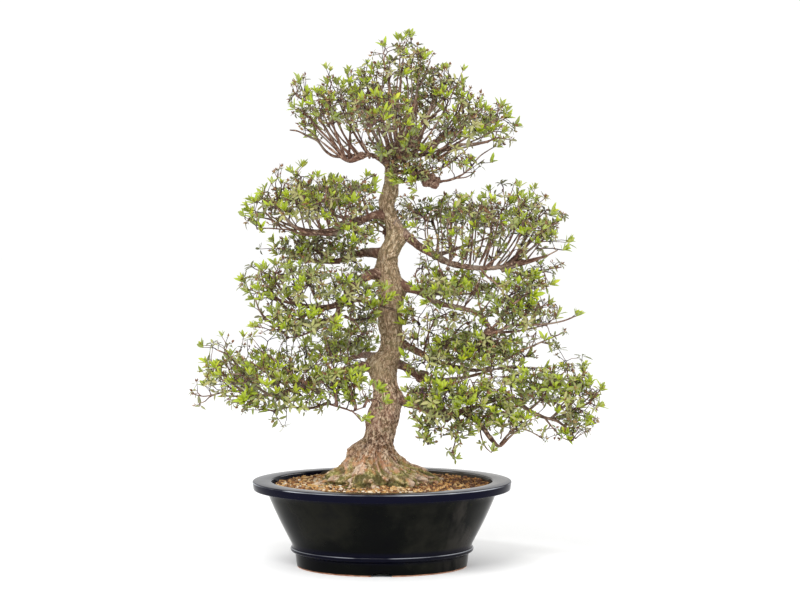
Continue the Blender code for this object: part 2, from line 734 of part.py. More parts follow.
def whorl_leaves(axis, rng):
    """(direction, length) of each leaf of a whorl."""
    count = rng.choice(LEAVES_IN_WHORL)
    start = rng.uniform(0, 2 * math.pi)
    across = axis.orthogonal().normalized()
    around = axis.cross(across)
    leaves = []
    for index in range(count):
        angle = start + 2 * math.pi * index / count
        rise = math.radians(rng.uniform(*LEAF_RISE))
        flat = across * math.cos(angle) + around * math.sin(angle)
        leaves.append((flat * math.cos(rise) + axis * math.sin(rise), rng.uniform(*LEAF_LENGTH)))
    return leaves


def whorl_place(name, growth, start, tip, middle, rng):
    """Where a twig from the start can end by its tip with its leaves clear: (end, axis, leaves)."""
    for attempt in range(PLACING_TRIES):
        reach = PLACING_SHIFT if attempt else 0
        end = tip + Vector([rng.uniform(-reach, reach) for _ in range(3)])
        way = (end - start).normalized()
        outward = (end - middle).normalized()
        upward = Vector((0, 0, WHORL_UPWARD))
        axis = (way * WHORL_ALONG_TWIG + outward * WHORL_OUTWARD + upward).normalized()
        leaves = whorl_leaves(axis, rng)
        pieces = [(start + way * TWIG_OUT_OF_STEM, end, TWIG_RADIUS)]
        pieces += [(end, end + out * length, length * LEAF_WIDTH_SHARE / 2) for out, length in leaves]
        if all(growth.clearance(name, *piece) > LEAF_CLEARANCE for piece in pieces):
            for piece in pieces:
                growth.add(name, *piece)
            return end, axis, leaves
    return None


def grow_spray(name, route, growth, tips, middle, rng, collection, joined):
    """One leafy spray: its stem, its twigs, and a whorl of leaves on each twig's tip."""
    base, collar, bend, hub = route
    radii = [STEM_RADIUS, STEM_RADIUS, (STEM_RADIUS + STEM_END_RADIUS) / 2, STEM_END_RADIUS]
    spray = limb_tube(name, route, radii, 0, collection)
    for start, end in zip(route, route[1:]):
        growth.add(name, start, end, STEM_RADIUS)
    for number, tip in enumerate(tips):
        start = hub if number % 2 else bend.lerp(hub, LOWER_TWIG_SHARE)
        place = whorl_place(name, growth, start, tip, middle, rng)
        if place:
            end, axis, leaves = place
            root = start - (end - start).normalized() * TWIG_ROOT
            whorl_on_twig("whorl", root, end, axis, leaves, joined)
    cut(spray, joined, "UNION", "MANIFOLD")
    return spray


def wood_grown():
    """The trunk and the limbs as the first growth, which sprays then keep clear of."""
    growth = Growth()
    for name in LIMBS:
        points, radii = limb_route(name)
        for start, end, radius in zip(points, points[1:], radii):
            growth.add("trunk", start, end, radius)
    for low, high in zip(TRUNK, TRUNK[1:]):
        growth.add("trunk", placed(*low[:3]), placed(*high[:3]), max(low[3], high[3]) * MM)
    return growth


def grow_leaf_masses(trunk, collection, joined):
    """Every leafy spray of the tree."""
    bpy.context.view_layer.update()
    wood = BVHTree.FromObject(trunk, bpy.context.evaluated_depsgraph_get())
    growth = wood_grown()
    rng = random.Random(SEED)
    sprays = []
    for mass, limb, middle, half, spray_count, whorl_count in LEAF_MASSES:
        centre = placed(*middle)
        tips = mass_tips(centre, half, whorl_count, rng)
        used = []
        for number, group in enumerate(sectors(tips, centre, spray_count)):
            name = f"spray_{mass}_{number + 1}"
            target = sum(group, Vector()) / len(group)
            route = stem_route(name, wood, growth, limb_sites(limb), used, target)
            if route:
                sprays.append(grow_spray(name, route, growth, group, centre, rng, collection, joined))
    return sprays


def main():
    clear_scene()
    parts = new_collection("satsuki_azalea_bonsai")
    joined = new_collection("cutters")
    finish(make_pot(parts, joined), "glaze")
    for side, label in ((-1, "left"), (1, "right")):
        finish(make_screen("drain_screen_" + label, side * DRAIN_X, parts, joined), "screen")
    finish(make_soil(parts, joined), "soil")
    trunk = make_trunk(parts, joined)
    finish(trunk, "bark")
    for spray in grow_leaf_masses(trunk, parts, joined):
        finish(spray, "leaf")
    centre_on_origin(parts)


main()
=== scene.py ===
"""The looks of a satsuki azalea bonsai in an oval glazed pot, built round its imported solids.

The wood, the fine twigs and the leaves repeat the limbs and leaf masses of the solids, in millimetres as
they stand in the front view. placed() carries them to their own depth, and to where the frame has them.
"""

import math
import random

import bmesh
import bpy
import numpy as np
from mathutils import Matrix, Vector, noise


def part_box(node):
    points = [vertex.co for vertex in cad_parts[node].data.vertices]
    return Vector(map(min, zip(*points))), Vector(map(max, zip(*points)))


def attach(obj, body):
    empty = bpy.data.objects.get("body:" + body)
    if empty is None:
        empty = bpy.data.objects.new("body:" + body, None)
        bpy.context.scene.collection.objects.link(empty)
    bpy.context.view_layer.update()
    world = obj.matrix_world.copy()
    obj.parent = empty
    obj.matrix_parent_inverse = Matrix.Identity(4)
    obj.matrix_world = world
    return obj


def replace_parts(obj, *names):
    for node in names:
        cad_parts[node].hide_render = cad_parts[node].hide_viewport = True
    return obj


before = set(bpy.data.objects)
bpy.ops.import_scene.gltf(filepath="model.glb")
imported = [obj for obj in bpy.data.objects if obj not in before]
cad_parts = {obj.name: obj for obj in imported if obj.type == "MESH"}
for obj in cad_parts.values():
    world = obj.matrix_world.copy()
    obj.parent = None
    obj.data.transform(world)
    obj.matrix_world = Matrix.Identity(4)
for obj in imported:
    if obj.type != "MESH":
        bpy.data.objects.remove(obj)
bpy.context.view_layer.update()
NODES = sorted(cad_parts)

MM = 0.001
SEED = 11
noise.seed_set(SEED)

# The front view.
EYE_X = 29 * MM
EYE_HEIGHT = 620 * MM
EYE_DISTANCE = 3420 * MM
AIM_HEIGHT = 420 * MM
LENS_MM = 96

# The light: the place in metres, length in metres and power in watts of each strip.
STRIP_LIGHTS = (((-1.1, -2.4, 3.2), 2.4, 92), ((2.4, -2.2, 1.6), 1.0, 22))
STRIP_WIDTH = 0.4
STRIP_AIM = (0, 0, 0.4)
SURROUND_STRENGTH = 1.04
FLOOR_RADIUS = 14

# The pot. Its middle is where the frame has it.
POT_LOW, POT_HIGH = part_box("pot")
ORIGIN = Vector(((POT_LOW[0] + POT_HIGH[0]) / 2, (POT_LOW[1] + POT_HIGH[1]) / 2, 0))
POT_DEPTH_SHARE = 0.79
POT_STEPS = 192
RIM_RADIUS = 209 * MM
RIM_TOP = 138 * MM
RIM_BAND = 14 * MM
MOUTH_RADIUS = 178 * MM
NECK_RADIUS = 186 * MM
BEAD_RADIUS = 148 * MM
BEAD_BOTTOM = 24 * MM
BEAD_HEIGHT = 8 * MM
FOOT_RADIUS = 138 * MM
FOOT_INSIDE = 124 * MM
FOOT_RECESS = 9 * MM
FLOOR_TOP = 20 * MM
POT_WALL = 14 * MM
EDGE = 2.5 * MM
NOTCH_WIDTH = 34 * MM
NOTCH_HEIGHT = 7 * MM
DRAIN_RADIUS = 13 * MM
DRAIN_X = 62 * MM

# The trunk. Each station is x, y, z, radius across, depth share and root depth, in millimetres.
ROOT_LOBES = 7
ROOT_TURN = 0.5
UNEVEN_LOBES = 3
UNEVEN_TURN = 1.1
UNEVEN_SHARE = 0.4
TRUNK = (
    (-8, 0, 112, 86, 0.80, 0.13),
    (-8, 0, 136, 88, 0.80, 0.13),
    (-8, 0, 146, 82, 0.82, 0.14),
    (-11, 0, 157, 63, 0.85, 0.14),
    (-14, 0, 167, 49, 0.88, 0.12),
    (-15, 0, 177, 40, 0.92, 0.10),
    (-15, 0, 188, 34, 0.96, 0.08),
    (-10, 0, 199, 29, 1.00, 0.06),
    (-4, 0, 212, 24.5, 1.00, 0.04),
    (1, -1, 238, 25.5, 1.00, 0.03),
    (7, -2, 269, 24.5, 0.98, 0.03),
    (4, -3, 292, 20.5, 1.00, 0.03),
    (0, -3, 316, 23, 0.98, 0.03),
    (0, -2, 331, 25, 0.95, 0.03),
    (12, 0, 350, 18, 1.00, 0.03),
    (15, 2, 374, 18.5, 1.00, 0.03),
    (12, 4, 398, 19.5, 1.00, 0.03),
    (14, 4, 422, 20.5, 1.00, 0.03),
    (15, 3, 446, 22, 0.95, 0.03),
    (10, 1, 468, 20, 0.95, 0.03),
    (8, -1, 490, 17, 1.00, 0.03),
    (12, -2, 509, 17, 1.00, 0.03),
    (21, -2, 529, 17, 1.00, 0.03),
    (21, 0, 546, 14.5, 1.00, 0.03),
    (12, 1, 563, 14, 1.00, 0.03),
    (8, 1, 582, 13, 1.00, 0.03),
    (13, 0, 601, 13.5, 1.00, 0.03),
    (15, 0, 620, 11.5, 1.00, 0.03),
    (14, 0, 640, 9, 1.00, 0.03),
)

# The limbs that grow out of the trunk, as x, y, z and radius in millimetres, from the wood outwards.
LIMBS = {
    "low_left": (
        (-4, 0, 318, 12), (-32, -12, 322, 11), (-56, -23, 316, 9.5), (-84, -35, 303, 8.5),
        (-145, -46, 284, 6.5), (-200, -40, 274, 4.5), (-250, -30, 274, 2.6),
    ),
    "back_left": (
        (-4, 8, 334, 10), (-22, 40, 340, 9), (-40, 80, 338, 7.5), (-90, 150, 326, 4),
    ),
    "mid_left": (
        (4, 0, 470, 12), (-20, -10, 469, 11), (-44, -25, 450, 9.5), (-66, -37, 427, 8.5),
        (-88, -45, 418, 7.5), (-140, -50, 422, 5.5), (-196, -36, 440, 2.8),
    ),
    "mid_left_fork": (
        (-66, -37, 427, 6.5), (-76, -54, 402, 6), (-126, -72, 388, 4.4), (-184, -62, 404, 2.6),
    ),
    "mid_left_high": (
        (6, 4, 502, 12), (-16, 17, 505, 11), (-42, 35, 502, 9.5), (-66, 51, 493, 8),
        (-110, 58, 491, 6), (-158, 48, 498, 3),
    ),
    "high_left": (
        (10, 0, 566, 10.5), (-12, -8, 565, 9.5), (-36, -17, 555, 8.5), (-62, -22, 545, 8),
        (-104, -23, 539, 6.2), (-146, -16, 548, 4.2), (-176, -10, 562, 2.6),
    ),
    "high_left_fork": (
        (-36, -17, 555, 6.5), (-46, 14, 560, 6), (-66, 48, 562, 5), (-118, 90, 576, 2.8),
    ),
    "high_back": (
        (14, 2, 498, 10), (13, 40, 511, 8.5), (8, 84, 520, 6), (4, 124, 536, 3),
    ),
    "crown_left": (
        (14, 0, 636, 8.5), (2, -9, 650, 8), (-16, -19, 661, 7.5), (-36, -28, 661, 7),
        (-54, -34, 652, 6.5), (-80, -34, 669, 5), (-124, -24, 706, 2.6),
    ),
    "crown_leader": (
        (14, 0, 632, 9), (21, 4, 656, 8.5), (29, 8, 682, 7.5), (29, 8, 716, 6),
        (26, 6, 750, 4.6), (32, 2, 790, 2.6),
    ),
    "crown_mid_left": (
        (21, 4, 656, 6), (-2, 15, 678, 5.5), (-16, 23, 704, 4.4), (-28, 26, 748, 2.6),
    ),
    "crown_right": (
        (21, 4, 652, 8), (46, 1, 659, 7.5), (70, -7, 662, 7), (92, -14, 658, 6.5),
        (116, -18, 669, 5.4), (168, -12, 681, 2.8),
    ),
    "crown_high_right": (
        (29, 8, 684, 6), (54, 17, 702, 5.5), (80, 22, 723, 4.4), (108, 24, 741, 2.6),
    ),
    "crown_back": (
        (21, 4, 656, 6.5), (22, 40, 668, 6), (26, 76, 684, 5), (30, 112, 706, 3),
    ),
    "crown_front": (
        (21, 4, 660, 6), (14, -34, 672, 5.4), (6, -66, 690, 4.4), (0, -98, 714, 2.6),
    ),
    "crown_burl": (
        (14, 0, 632, 7), (40, -14, 634, 7), (62, -24, 627, 9.5), (80, -28, 619, 10.5),
        (90, -28, 617, 5), (128, -20, 630, 2.4), (164, -12, 654, 1.6),
    ),
    "high_right": (
        (18, 0, 548, 13), (38, -5, 533, 11.5), (60, -11, 515, 10.5), (86, -19, 500, 9.5),
        (112, -24, 487, 9), (160, -28, 480, 7.5), (204, -24, 486, 5.5), (250, -12, 520, 2.8),
    ),
    "high_right_tip": (
        (200, -24, 485, 5), (232, -34, 492, 4), (264, -38, 500, 2.8),
    ),
    "high_right_back": (
        (86, -19, 500, 6.5), (98, 16, 504, 6), (122, 48, 512, 5), (186, 84, 534, 2.8),
    ),
    "mid_right": (
        (22, 0, 456, 12), (46, -6, 447, 10), (68, -15, 439, 9), (90, -22, 424, 8),
        (146, -30, 411, 6.5), (164, -28, 397, 6), (180, -26, 380, 5.5), (212, -19, 378, 4),
        (262, -10, 388, 2),
    ),
    "mid_right_back": (
        (68, -15, 439, 6), (82, 20, 440, 5.5), (106, 54, 438, 4.6), (168, 96, 440, 2.6),
    ),
    "low_mid_right": (
        (20, 2, 364, 11), (40, 2, 355, 9), (62, 2, 343, 8), (86, 2, 331, 7.5),
        (144, -4, 316, 5.5), (206, -10, 320, 2.8),
    ),
    "back_right": (
        (14, 4, 330, 11), (36, 30, 322, 11), (58, 60, 307, 9.5), (86, 90, 300, 8),
        (132, 118, 304, 5.8), (186, 124, 318, 3),
    ),
    "low_right": (
        (14, 0, 276, 13), (36, -9, 265, 11), (60, -20, 257, 9.5), (84, -32, 251, 9),
        (132, -46, 250, 7.5), (196, -40, 272, 6), (226, -34, 257, 5.6), (262, -30, 239, 4.8),
        (310, -34, 240, 2.8),
    ),
    "low_right_hook": (
        (132, -46, 250, 6.5), (158, -57, 228, 6.5), (178, -60, 202, 6), (190, -62, 193, 5),
        (206, -60, 208, 3.4), (236, -54, 234, 2.4),
    ),
    "low_right_tip": (
        (284, -31, 238, 3.6), (310, -20, 252, 3.2), (344, -8, 282, 2),
    ),
}

# The leaf masses: the limb that carries each, and its middle and half sizes in millimetres.
LEAF_MASSES = {
    "crown_left": ("crown_left", (-86, -34, 724), (62, 66, 54)),
    "crown_inner_left": ("crown_mid_left", (-26, 30, 756), (46, 52, 50)),
    "crown_top": ("crown_leader", (35, 2, 794), (46, 52, 60)),
    "crown_upper_right": ("crown_high_right", (92, 30, 758), (52, 54, 52)),
    "crown_right": ("crown_right", (144, -16, 708), (62, 62, 48)),
    "crown_front": ("crown_front", (6, -100, 716), (54, 44, 50)),
    "crown_back": ("crown_back", (34, 116, 724), (66, 48, 52)),
    "crown_low": ("crown_burl", (122, -24, 650), (44, 34, 22)),
    "high_left": ("high_left", (-126, -34, 576), (92, 74, 52)),
    "high_left_back": ("high_left_fork", (-84, 92, 592), (60, 48, 38)),
    "high_back": ("high_back", (2, 134, 556), (58, 46, 42)),
    "mid_left_high": ("mid_left_high", (-106, 62, 508), (82, 56, 34)),
    "mid_left": ("mid_left", (-136, -56, 450), (86, 58, 44)),
    "mid_left_low": ("mid_left_fork", (-132, -84, 390), (74, 46, 34)),
    "low_left": ("low_left", (-194, -42, 302), (106, 84, 50)),
    "low_left_near": ("low_left", (-70, -88, 300), (48, 46, 36)),
    "back_left": ("back_left", (-64, 146, 350), (62, 52, 42)),
    "high_right": ("high_right", (188, -34, 548), (102, 72, 58)),
    "high_right_back": ("high_right_back", (106, 82, 562), (66, 54, 44)),
    "high_right_low": ("high_right_tip", (228, -46, 452), (42, 36, 30)),
    "mid_right": ("mid_right", (228, -18, 408), (58, 52, 34)),
    "mid_right_near": ("mid_right", (94, -44, 446), (50, 44, 34)),
    "mid_right_back": ("mid_right_back", (138, 102, 450), (58, 44, 36)),
    "low_mid_right": ("low_mid_right", (146, -4, 346), (88, 58, 36)),
    "back_right": ("back_right", (150, 142, 342), (78, 50, 40)),
    "low_right_near": ("low_right", (96, -88, 270), (64, 52, 40)),
    "low_right_far": ("low_right_tip", (286, -34, 280), (66, 60, 46)),
    "low_right_hook": ("low_right_hook", (196, -72, 234), (54, 38, 36)),
}

# How finely the wood is made, and its bark.
TRUNK_STEP = 1.7 * MM
TRUNK_AROUND = 200
LIMB_STEP = 2.4 * MM
LIMB_AROUND = 18
BARK_PLATE = 2.6 * MM
BARK_STRETCH = 1.5
BARK_DEPTH = 1.0 * MM
FISSURE_DEPTH = 1.9 * MM
FLUTE_DEPTH = 3.0 * MM
FLUTE_SIZE = 15 * MM
COARSE_DEPTH = 1.8 * MM
COARSE_SIZE = 13 * MM
FINE_DEPTH = 0.8 * MM
FINE_SIZE = 1.7 * MM
FULL_RELIEF_RADIUS = 15 * MM
ROOT_RELIEF = 8.0 * MM
ROOT_TOP = 196 * MM
ROOT_FADE = 46 * MM
TOES_TOP = 168 * MM
TOES_FADE = 24 * MM
LIMB_SLIM = 0.66
CROWN_SLIM = 0.46
LIMB_TAPER = 0.34
LIMB_BARK_DEPTH = 0.5 * MM
LIMB_PLATE = 3.0 * MM
LIMB_COARSE_SIZE = 6 * MM
LIMB_UNEVEN_LENGTH = 17 * MM
UNEVEN_WOOD = 0.22
COLLAR_SWELL = 0.75
COLLAR_LENGTH = 14 * MM
BOUGH_STEP = 4.5 * MM
BOUGH_SITE_STEP = 3 * MM
BOUGH_AROUND = 7
KNUCKLE_LENGTH = 9 * MM
KNOT_FINENESS = 4

# Fine twigs and whorls.
WHORLS_PER_AREA = 0.0134
TWIG_TIP_RADIUS = 0.62 * MM
PIPE_POWER = 2.5
TWIG_SIDES = 3
THICK_TWIG_SIDES = 5
THICK_TWIG_RADIUS = 1.5 * MM
TWIG_STEP = 9 * MM
SITE_STEP = 12 * MM
LIMB_SITE_STEP = 4 * MM
FORK_SHARE = (0.24, 0.44)
SPLIT_SHARE = (0.32, 0.68)
ASIDE_COST = 0.35
AHEAD_GAIN = 0.35
BELOW_COST = 0.8
CROWDED = 9 * MM
CROWDED_COST = 20 * MM
GOLDEN_ANGLE = math.pi * (3 - math.sqrt(5))
LOWEST_TIP = -0.5
UPPER_LOWEST_TIP = -0.35
UPPER_SHARE = 0.92
LEAF_MARGIN = 7
TIP_REACH = (1.0, 0.9, 0.62, 0.96, 0.78, 0.45)
TIP_SPREAD = 7 * MM
TIPS_PER_CLUSTER = 2.4
TUFT_SPREAD = 2.5 * MM
TUFT_TIPS = 2
CLEAR_TRUNK_TOP = 620 * MM
ALL_GREEN_HEIGHT = 300 * MM
NO_GREEN_HEIGHT = 560 * MM
BARE_SHARE = 0.32
CROWN_BARE_SHARE = 0.52

# Leaves.
NEW_SHARE = 0.31
LEAF_LENGTH = (12 * MM, 18.5 * MM)
LEAF_WIDTH_SHARE = (0.27, 0.38)
LEAF_STATIONS = (0.34, 0.72)
LEAF_PROFILE = (0.94, 0.80)
BUD_STATIONS = (0.5,)
BUD_PROFILE = (1.2,)
LEAF_THICK = 0.35 * MM
BUD_SHARE = 0.42
BUD_LENGTH = (5 * MM, 8.5 * MM)

# Soil, grains and moss.
SOIL_EDGE_TOP = 128.5 * MM
SOIL_MOUND = 6 * MM
GRAIN_COUNT = 5200
GRAIN_SIZE = (1.5 * MM, 3.4 * MM)
MOSS_COUNT = 5200
MOSS_HEIGHT = (1.8 * MM, 3.6 * MM)
MOSS_RADIUS = 0.8 * MM
MOSS_PATCH = 17 * MM
MOSS_FADE = 26 * MM
SOIL_AROUND = 160
SOIL_RINGS = 46
SOIL_GRIT_SIZE = 2.6 * MM
SOIL_GRIT_DEPTH = 0.9 * MM

# Boughs that show between the leaves of each mass: the radius at either end and the depth at either end in
# millimetres, and the route in pixels of the front view.
PIXEL = 1.6
FRONT_ZERO = (382, 568)
BOUGHS = {
    "crown_left": (
        (3.6, 1.3, -26, -40, (
            (370, 153), (360, 158), (350, 161), (344, 157), (336, 146), (328, 132), (318, 116), (306, 102),
            (298, 97))),
        (3.0, 1.1, -22, -14, (
            (362, 154), (346, 156), (334, 156), (325, 150), (318, 141), (308, 136), (298, 131), (290, 130))),
        (2.8, 1.2, -28, -62, ((345, 157), (341, 146), (335, 130), (332, 116), (331, 104))),
        (2.4, 1.1, -28, 4, ((349, 160), (350, 140), (351, 125), (354, 108))),
        (2.2, 1.0, -34, -50, ((337, 148), (330, 140), (318, 128), (308, 116), (302, 110))),
    ),
    "crown_inner_left": (
        (3.2, 1.2, -6, 20, ((388, 156), (378, 140), (366, 118), (356, 100), (350, 86))),
        (2.8, 1.1, 6, 50, ((390, 150), (384, 128), (378, 104), (376, 84))),
    ),
    "crown_top": (
        (3.4, 1.2, 0, -20, ((397, 150), (394, 122), (392, 98), (388, 78), (384, 62))),
        (3.0, 1.1, 4, 30, ((402, 146), (410, 120), (416, 96), (424, 76), (430, 62))),
        (2.2, 1.0, 6, 6, ((400, 96), (401, 78), (403, 62), (404, 50))),
    ),
    "crown_upper_right": (
        (3.2, 1.1, 2, 30, ((404, 148), (418, 128), (432, 110), (446, 96), (456, 86))),
        (2.6, 1.0, 0, 60, ((408, 146), (424, 128), (440, 108), (448, 92))),
    ),
    "crown_right": (
        (3.4, 1.2, -10, -30, ((432, 158), (444, 150), (456, 145), (470, 144), (484, 142), (494, 139))),
        (2.8, 1.1, -14, -40, ((436, 155), (450, 142), (464, 126), (478, 112), (486, 104))),
        (2.4, 1.0, -8, 24, ((428, 158), (440, 138), (452, 120), (462, 108))),
        (2.2, 1.0, -16, -64, ((446, 150), (462, 140), (480, 128), (496, 120))),
    ),
    "crown_front": (
        (2.8, 1.1, -30, -90, ((392, 152), (384, 136), (372, 118), (368, 104))),
        (2.6, 1.0, -30, -100, ((396, 148), (402, 130), (412, 112), (414, 100))),
    ),
    "crown_low": (
        (1.9, 0.9, -24, -16, ((440, 181), (450, 180), (460, 176), (470, 168), (480, 156), (492, 148))),
        (1.5, 0.8, -20, -40, ((418, 172), (432, 171), (446, 166), (456, 158), (468, 148))),
        (1.3, 0.7, -22, -10, ((456, 178), (466, 177), (474, 173))),
    ),
    "high_left": (
        (3.4, 1.2, -24, -60, (
            (344, 231), (330, 234), (314, 233), (300, 230), (288, 220), (276, 206), (268, 194))),
        (2.4, 1.0, -22, -6, ((318, 234), (302, 234), (288, 228), (274, 221), (262, 217))),
        (1.5, 0.8, -26, -50, ((296, 230), (282, 229), (268, 228), (257, 229))),
        (2.4, 1.0, -22, -30, ((322, 232), (316, 218), (308, 205), (302, 190), (301, 178))),
        (2.0, 0.9, -20, 10, ((336, 230), (334, 214), (330, 200), (330, 186))),
        (2.0, 0.9, -24, -70, ((344, 228), (346, 212), (352, 196), (350, 182))),
        (2.0, 0.9, -10, -24, ((370, 219), (366, 208), (362, 196), (358, 184))),
    ),
    "high_left_back": (
        (2.6, 1.0, 30, 100, ((330, 226), (322, 208), (312, 196), (304, 184))),
    ),
    "mid_left_high": (
        (3.0, 1.1, 40, 66, ((340, 262), (324, 262), (306, 258), (292, 252), (280, 248))),
        (2.4, 1.0, 40, 30, ((330, 262), (318, 252), (308, 246), (300, 242))),
    ),
    "mid_left": (
        (3.4, 1.2, -36, -60, (
            (336, 306), (320, 309), (303, 305), (290, 300), (280, 288), (270, 276), (258, 270))),
        (2.8, 1.1, -40, -40, ((312, 310), (296, 320), (284, 306), (272, 292), (262, 280), (250, 276))),
        (2.4, 1.0, -40, -20, ((300, 322), (284, 328), (270, 322), (260, 312), (255, 300), (250, 294))),
        (3.2, 1.2, -34, -70, ((352, 312), (352, 298), (350, 286), (346, 276))),
    ),
    "mid_left_low": (
        (2.6, 1.0, -50, -84, ((340, 312), (330, 320), (314, 330), (300, 336), (288, 338))),
        (2.2, 0.9, -50, -70, ((345, 316), (356, 324), (362, 334))),
    ),
    "low_left": (
        (3.2, 1.2, -36, -70, ((322, 394), (306, 384), (290, 374), (276, 362), (262, 352))),
        (3.0, 1.1, -40, -50, ((290, 400), (270, 396), (252, 384), (240, 370), (228, 356), (216, 350))),
        (2.6, 1.0, -40, -30, ((262, 400), (246, 394), (234, 386), (222, 374), (212, 366))),
        (1.9, 0.8, -30, -44, ((254, 396), (240, 392), (226, 392), (214, 395), (202, 397), (190, 394))),
        (1.3, 0.7, -36, -40, ((214, 395), (208, 398), (204, 402), (199, 404))),
        (2.6, 1.0, -40, -100, ((300, 396), (282, 384), (264, 372), (250, 362))),
        (2.4, 1.1, -44, -60, ((330, 402), (316, 408), (302, 409), (288, 408), (276, 412))),
    ),
    "low_left_near": (
        (1.9, 0.9, -70, -104, ((326, 404), (336, 407), (346, 410), (352, 412), (358, 410), (364, 408))),
        (1.2, 0.8, -100, -108, ((351, 411), (356, 416), (361, 422))),
    ),
    "high_right": (
        (3.8, 1.4, -24, -44, (
            (500, 268), (510, 263), (519, 254), (530, 242), (540, 234), (549, 227), (558, 222))),
        (2.4, 1.0, -24, -70, ((486, 267), (502, 252), (512, 236), (518, 216), (519, 198))),
        (2.2, 1.0, -24, 0, ((514, 260), (524, 240), (532, 224), (538, 206))),
        (2.0, 0.9, -26, -60, ((470, 265), (472, 246), (474, 226), (480, 206))),
        (2.0, 0.9, -26, 10, ((484, 267), (490, 244), (492, 222), (491, 200), (490, 184))),
        (2.0, 0.9, -20, -50, ((450, 262), (455, 244), (457, 228), (452, 212))),
        (1.3, 0.8, -30, -44, ((457, 246), (454, 256), (449, 264), (446, 269))),
    ),
    "high_right_back": (
        (2.2, 1.0, 20, 80, ((436, 256), (438, 240), (434, 224), (430, 208))),
    ),
    "high_right_low": (
        (3.0, 1.0, -26, -54, ((502, 271), (516, 266), (530, 262), (544, 257), (558, 250))),
        (2.0, 0.8, -30, -30, ((506, 271), (522, 273), (542, 270), (562, 267))),
        (1.9, 0.9, -34, -60, ((480, 267), (487, 276), (497, 284), (506, 296), (514, 304))),
    ),
    "mid_right": (
        (2.8, 1.0, -30, -36, (
            (490, 334), (502, 330), (513, 325), (530, 325), (548, 324), (564, 321), (577, 316))),
        (2.2, 0.9, -30, -60, ((490, 331), (502, 318), (510, 304), (518, 290), (524, 280))),
        (1.9, 0.8, -30, -10, ((513, 325), (526, 314), (538, 308), (550, 304))),
        (1.7, 0.8, -34, -50, ((520, 352), (536, 345), (550, 339), (564, 333))),
        (1.8, 0.8, -30, -44, ((488, 326), (480, 306), (478, 290), (472, 282))),
    ),
    "mid_right_near": (
        (2.2, 0.9, -20, -50, ((428, 294), (436, 282), (440, 270), (438, 260))),
    ),
    "low_mid_right": (
        (2.4, 1.0, -4, -40, ((452, 366), (468, 352), (486, 344), (504, 338))),
        (2.2, 1.0, -4, 20, ((476, 372), (500, 364), (520, 352), (536, 346))),
        (2.0, 0.9, 0, -30, ((424, 354), (428, 336), (436, 320), (450, 312))),
        (2.0, 0.9, 0, 30, ((436, 360), (450, 342), (462, 326), (476, 320))),
    ),
    "low_right_far": (
        (3.6, 1.4, -34, -40, (
            (504, 392), (516, 400), (530, 411), (545, 418), (560, 423), (570, 432), (577, 440))),
        (1.6, 0.8, -34, -50, ((545, 418), (555, 430), (564, 439), (573, 442))),
        (2.6, 1.0, -34, -30, ((552, 420), (562, 410), (572, 402), (580, 392), (590, 380))),
        (2.2, 0.9, -34, -60, ((566, 412), (582, 408), (594, 400), (603, 388))),
        (2.2, 0.9, -34, -60, ((530, 411), (544, 398), (552, 384), (566, 372))),
    ),
    "low_right_hook": (
        (2.2, 0.9, -60, -50, ((501, 446), (508, 437), (517, 430), (530, 432), (544, 440))),
        (2.4, 1.0, -60, -80, ((480, 424), (490, 412), (500, 404), (516, 396))),
    ),
    "low_right_near": (
        (2.6, 1.0, -40, -90, ((430, 404), (440, 394), (452, 386), (466, 380))),
        (2.2, 1.0, -50, -80, ((470, 412), (474, 400), (484, 390), (490, 382))),
        (1.8, 0.9, -50, -80, ((440, 414), (432, 424), (426, 436), (428, 446))),
        (1.6, 0.8, -50, -84, ((458, 420), (458, 434), (455, 446), (452, 454))),
        (1.6, 0.8, -50, -70, ((480, 424), (482, 438), (486, 448), (492, 454))),
    ),
}

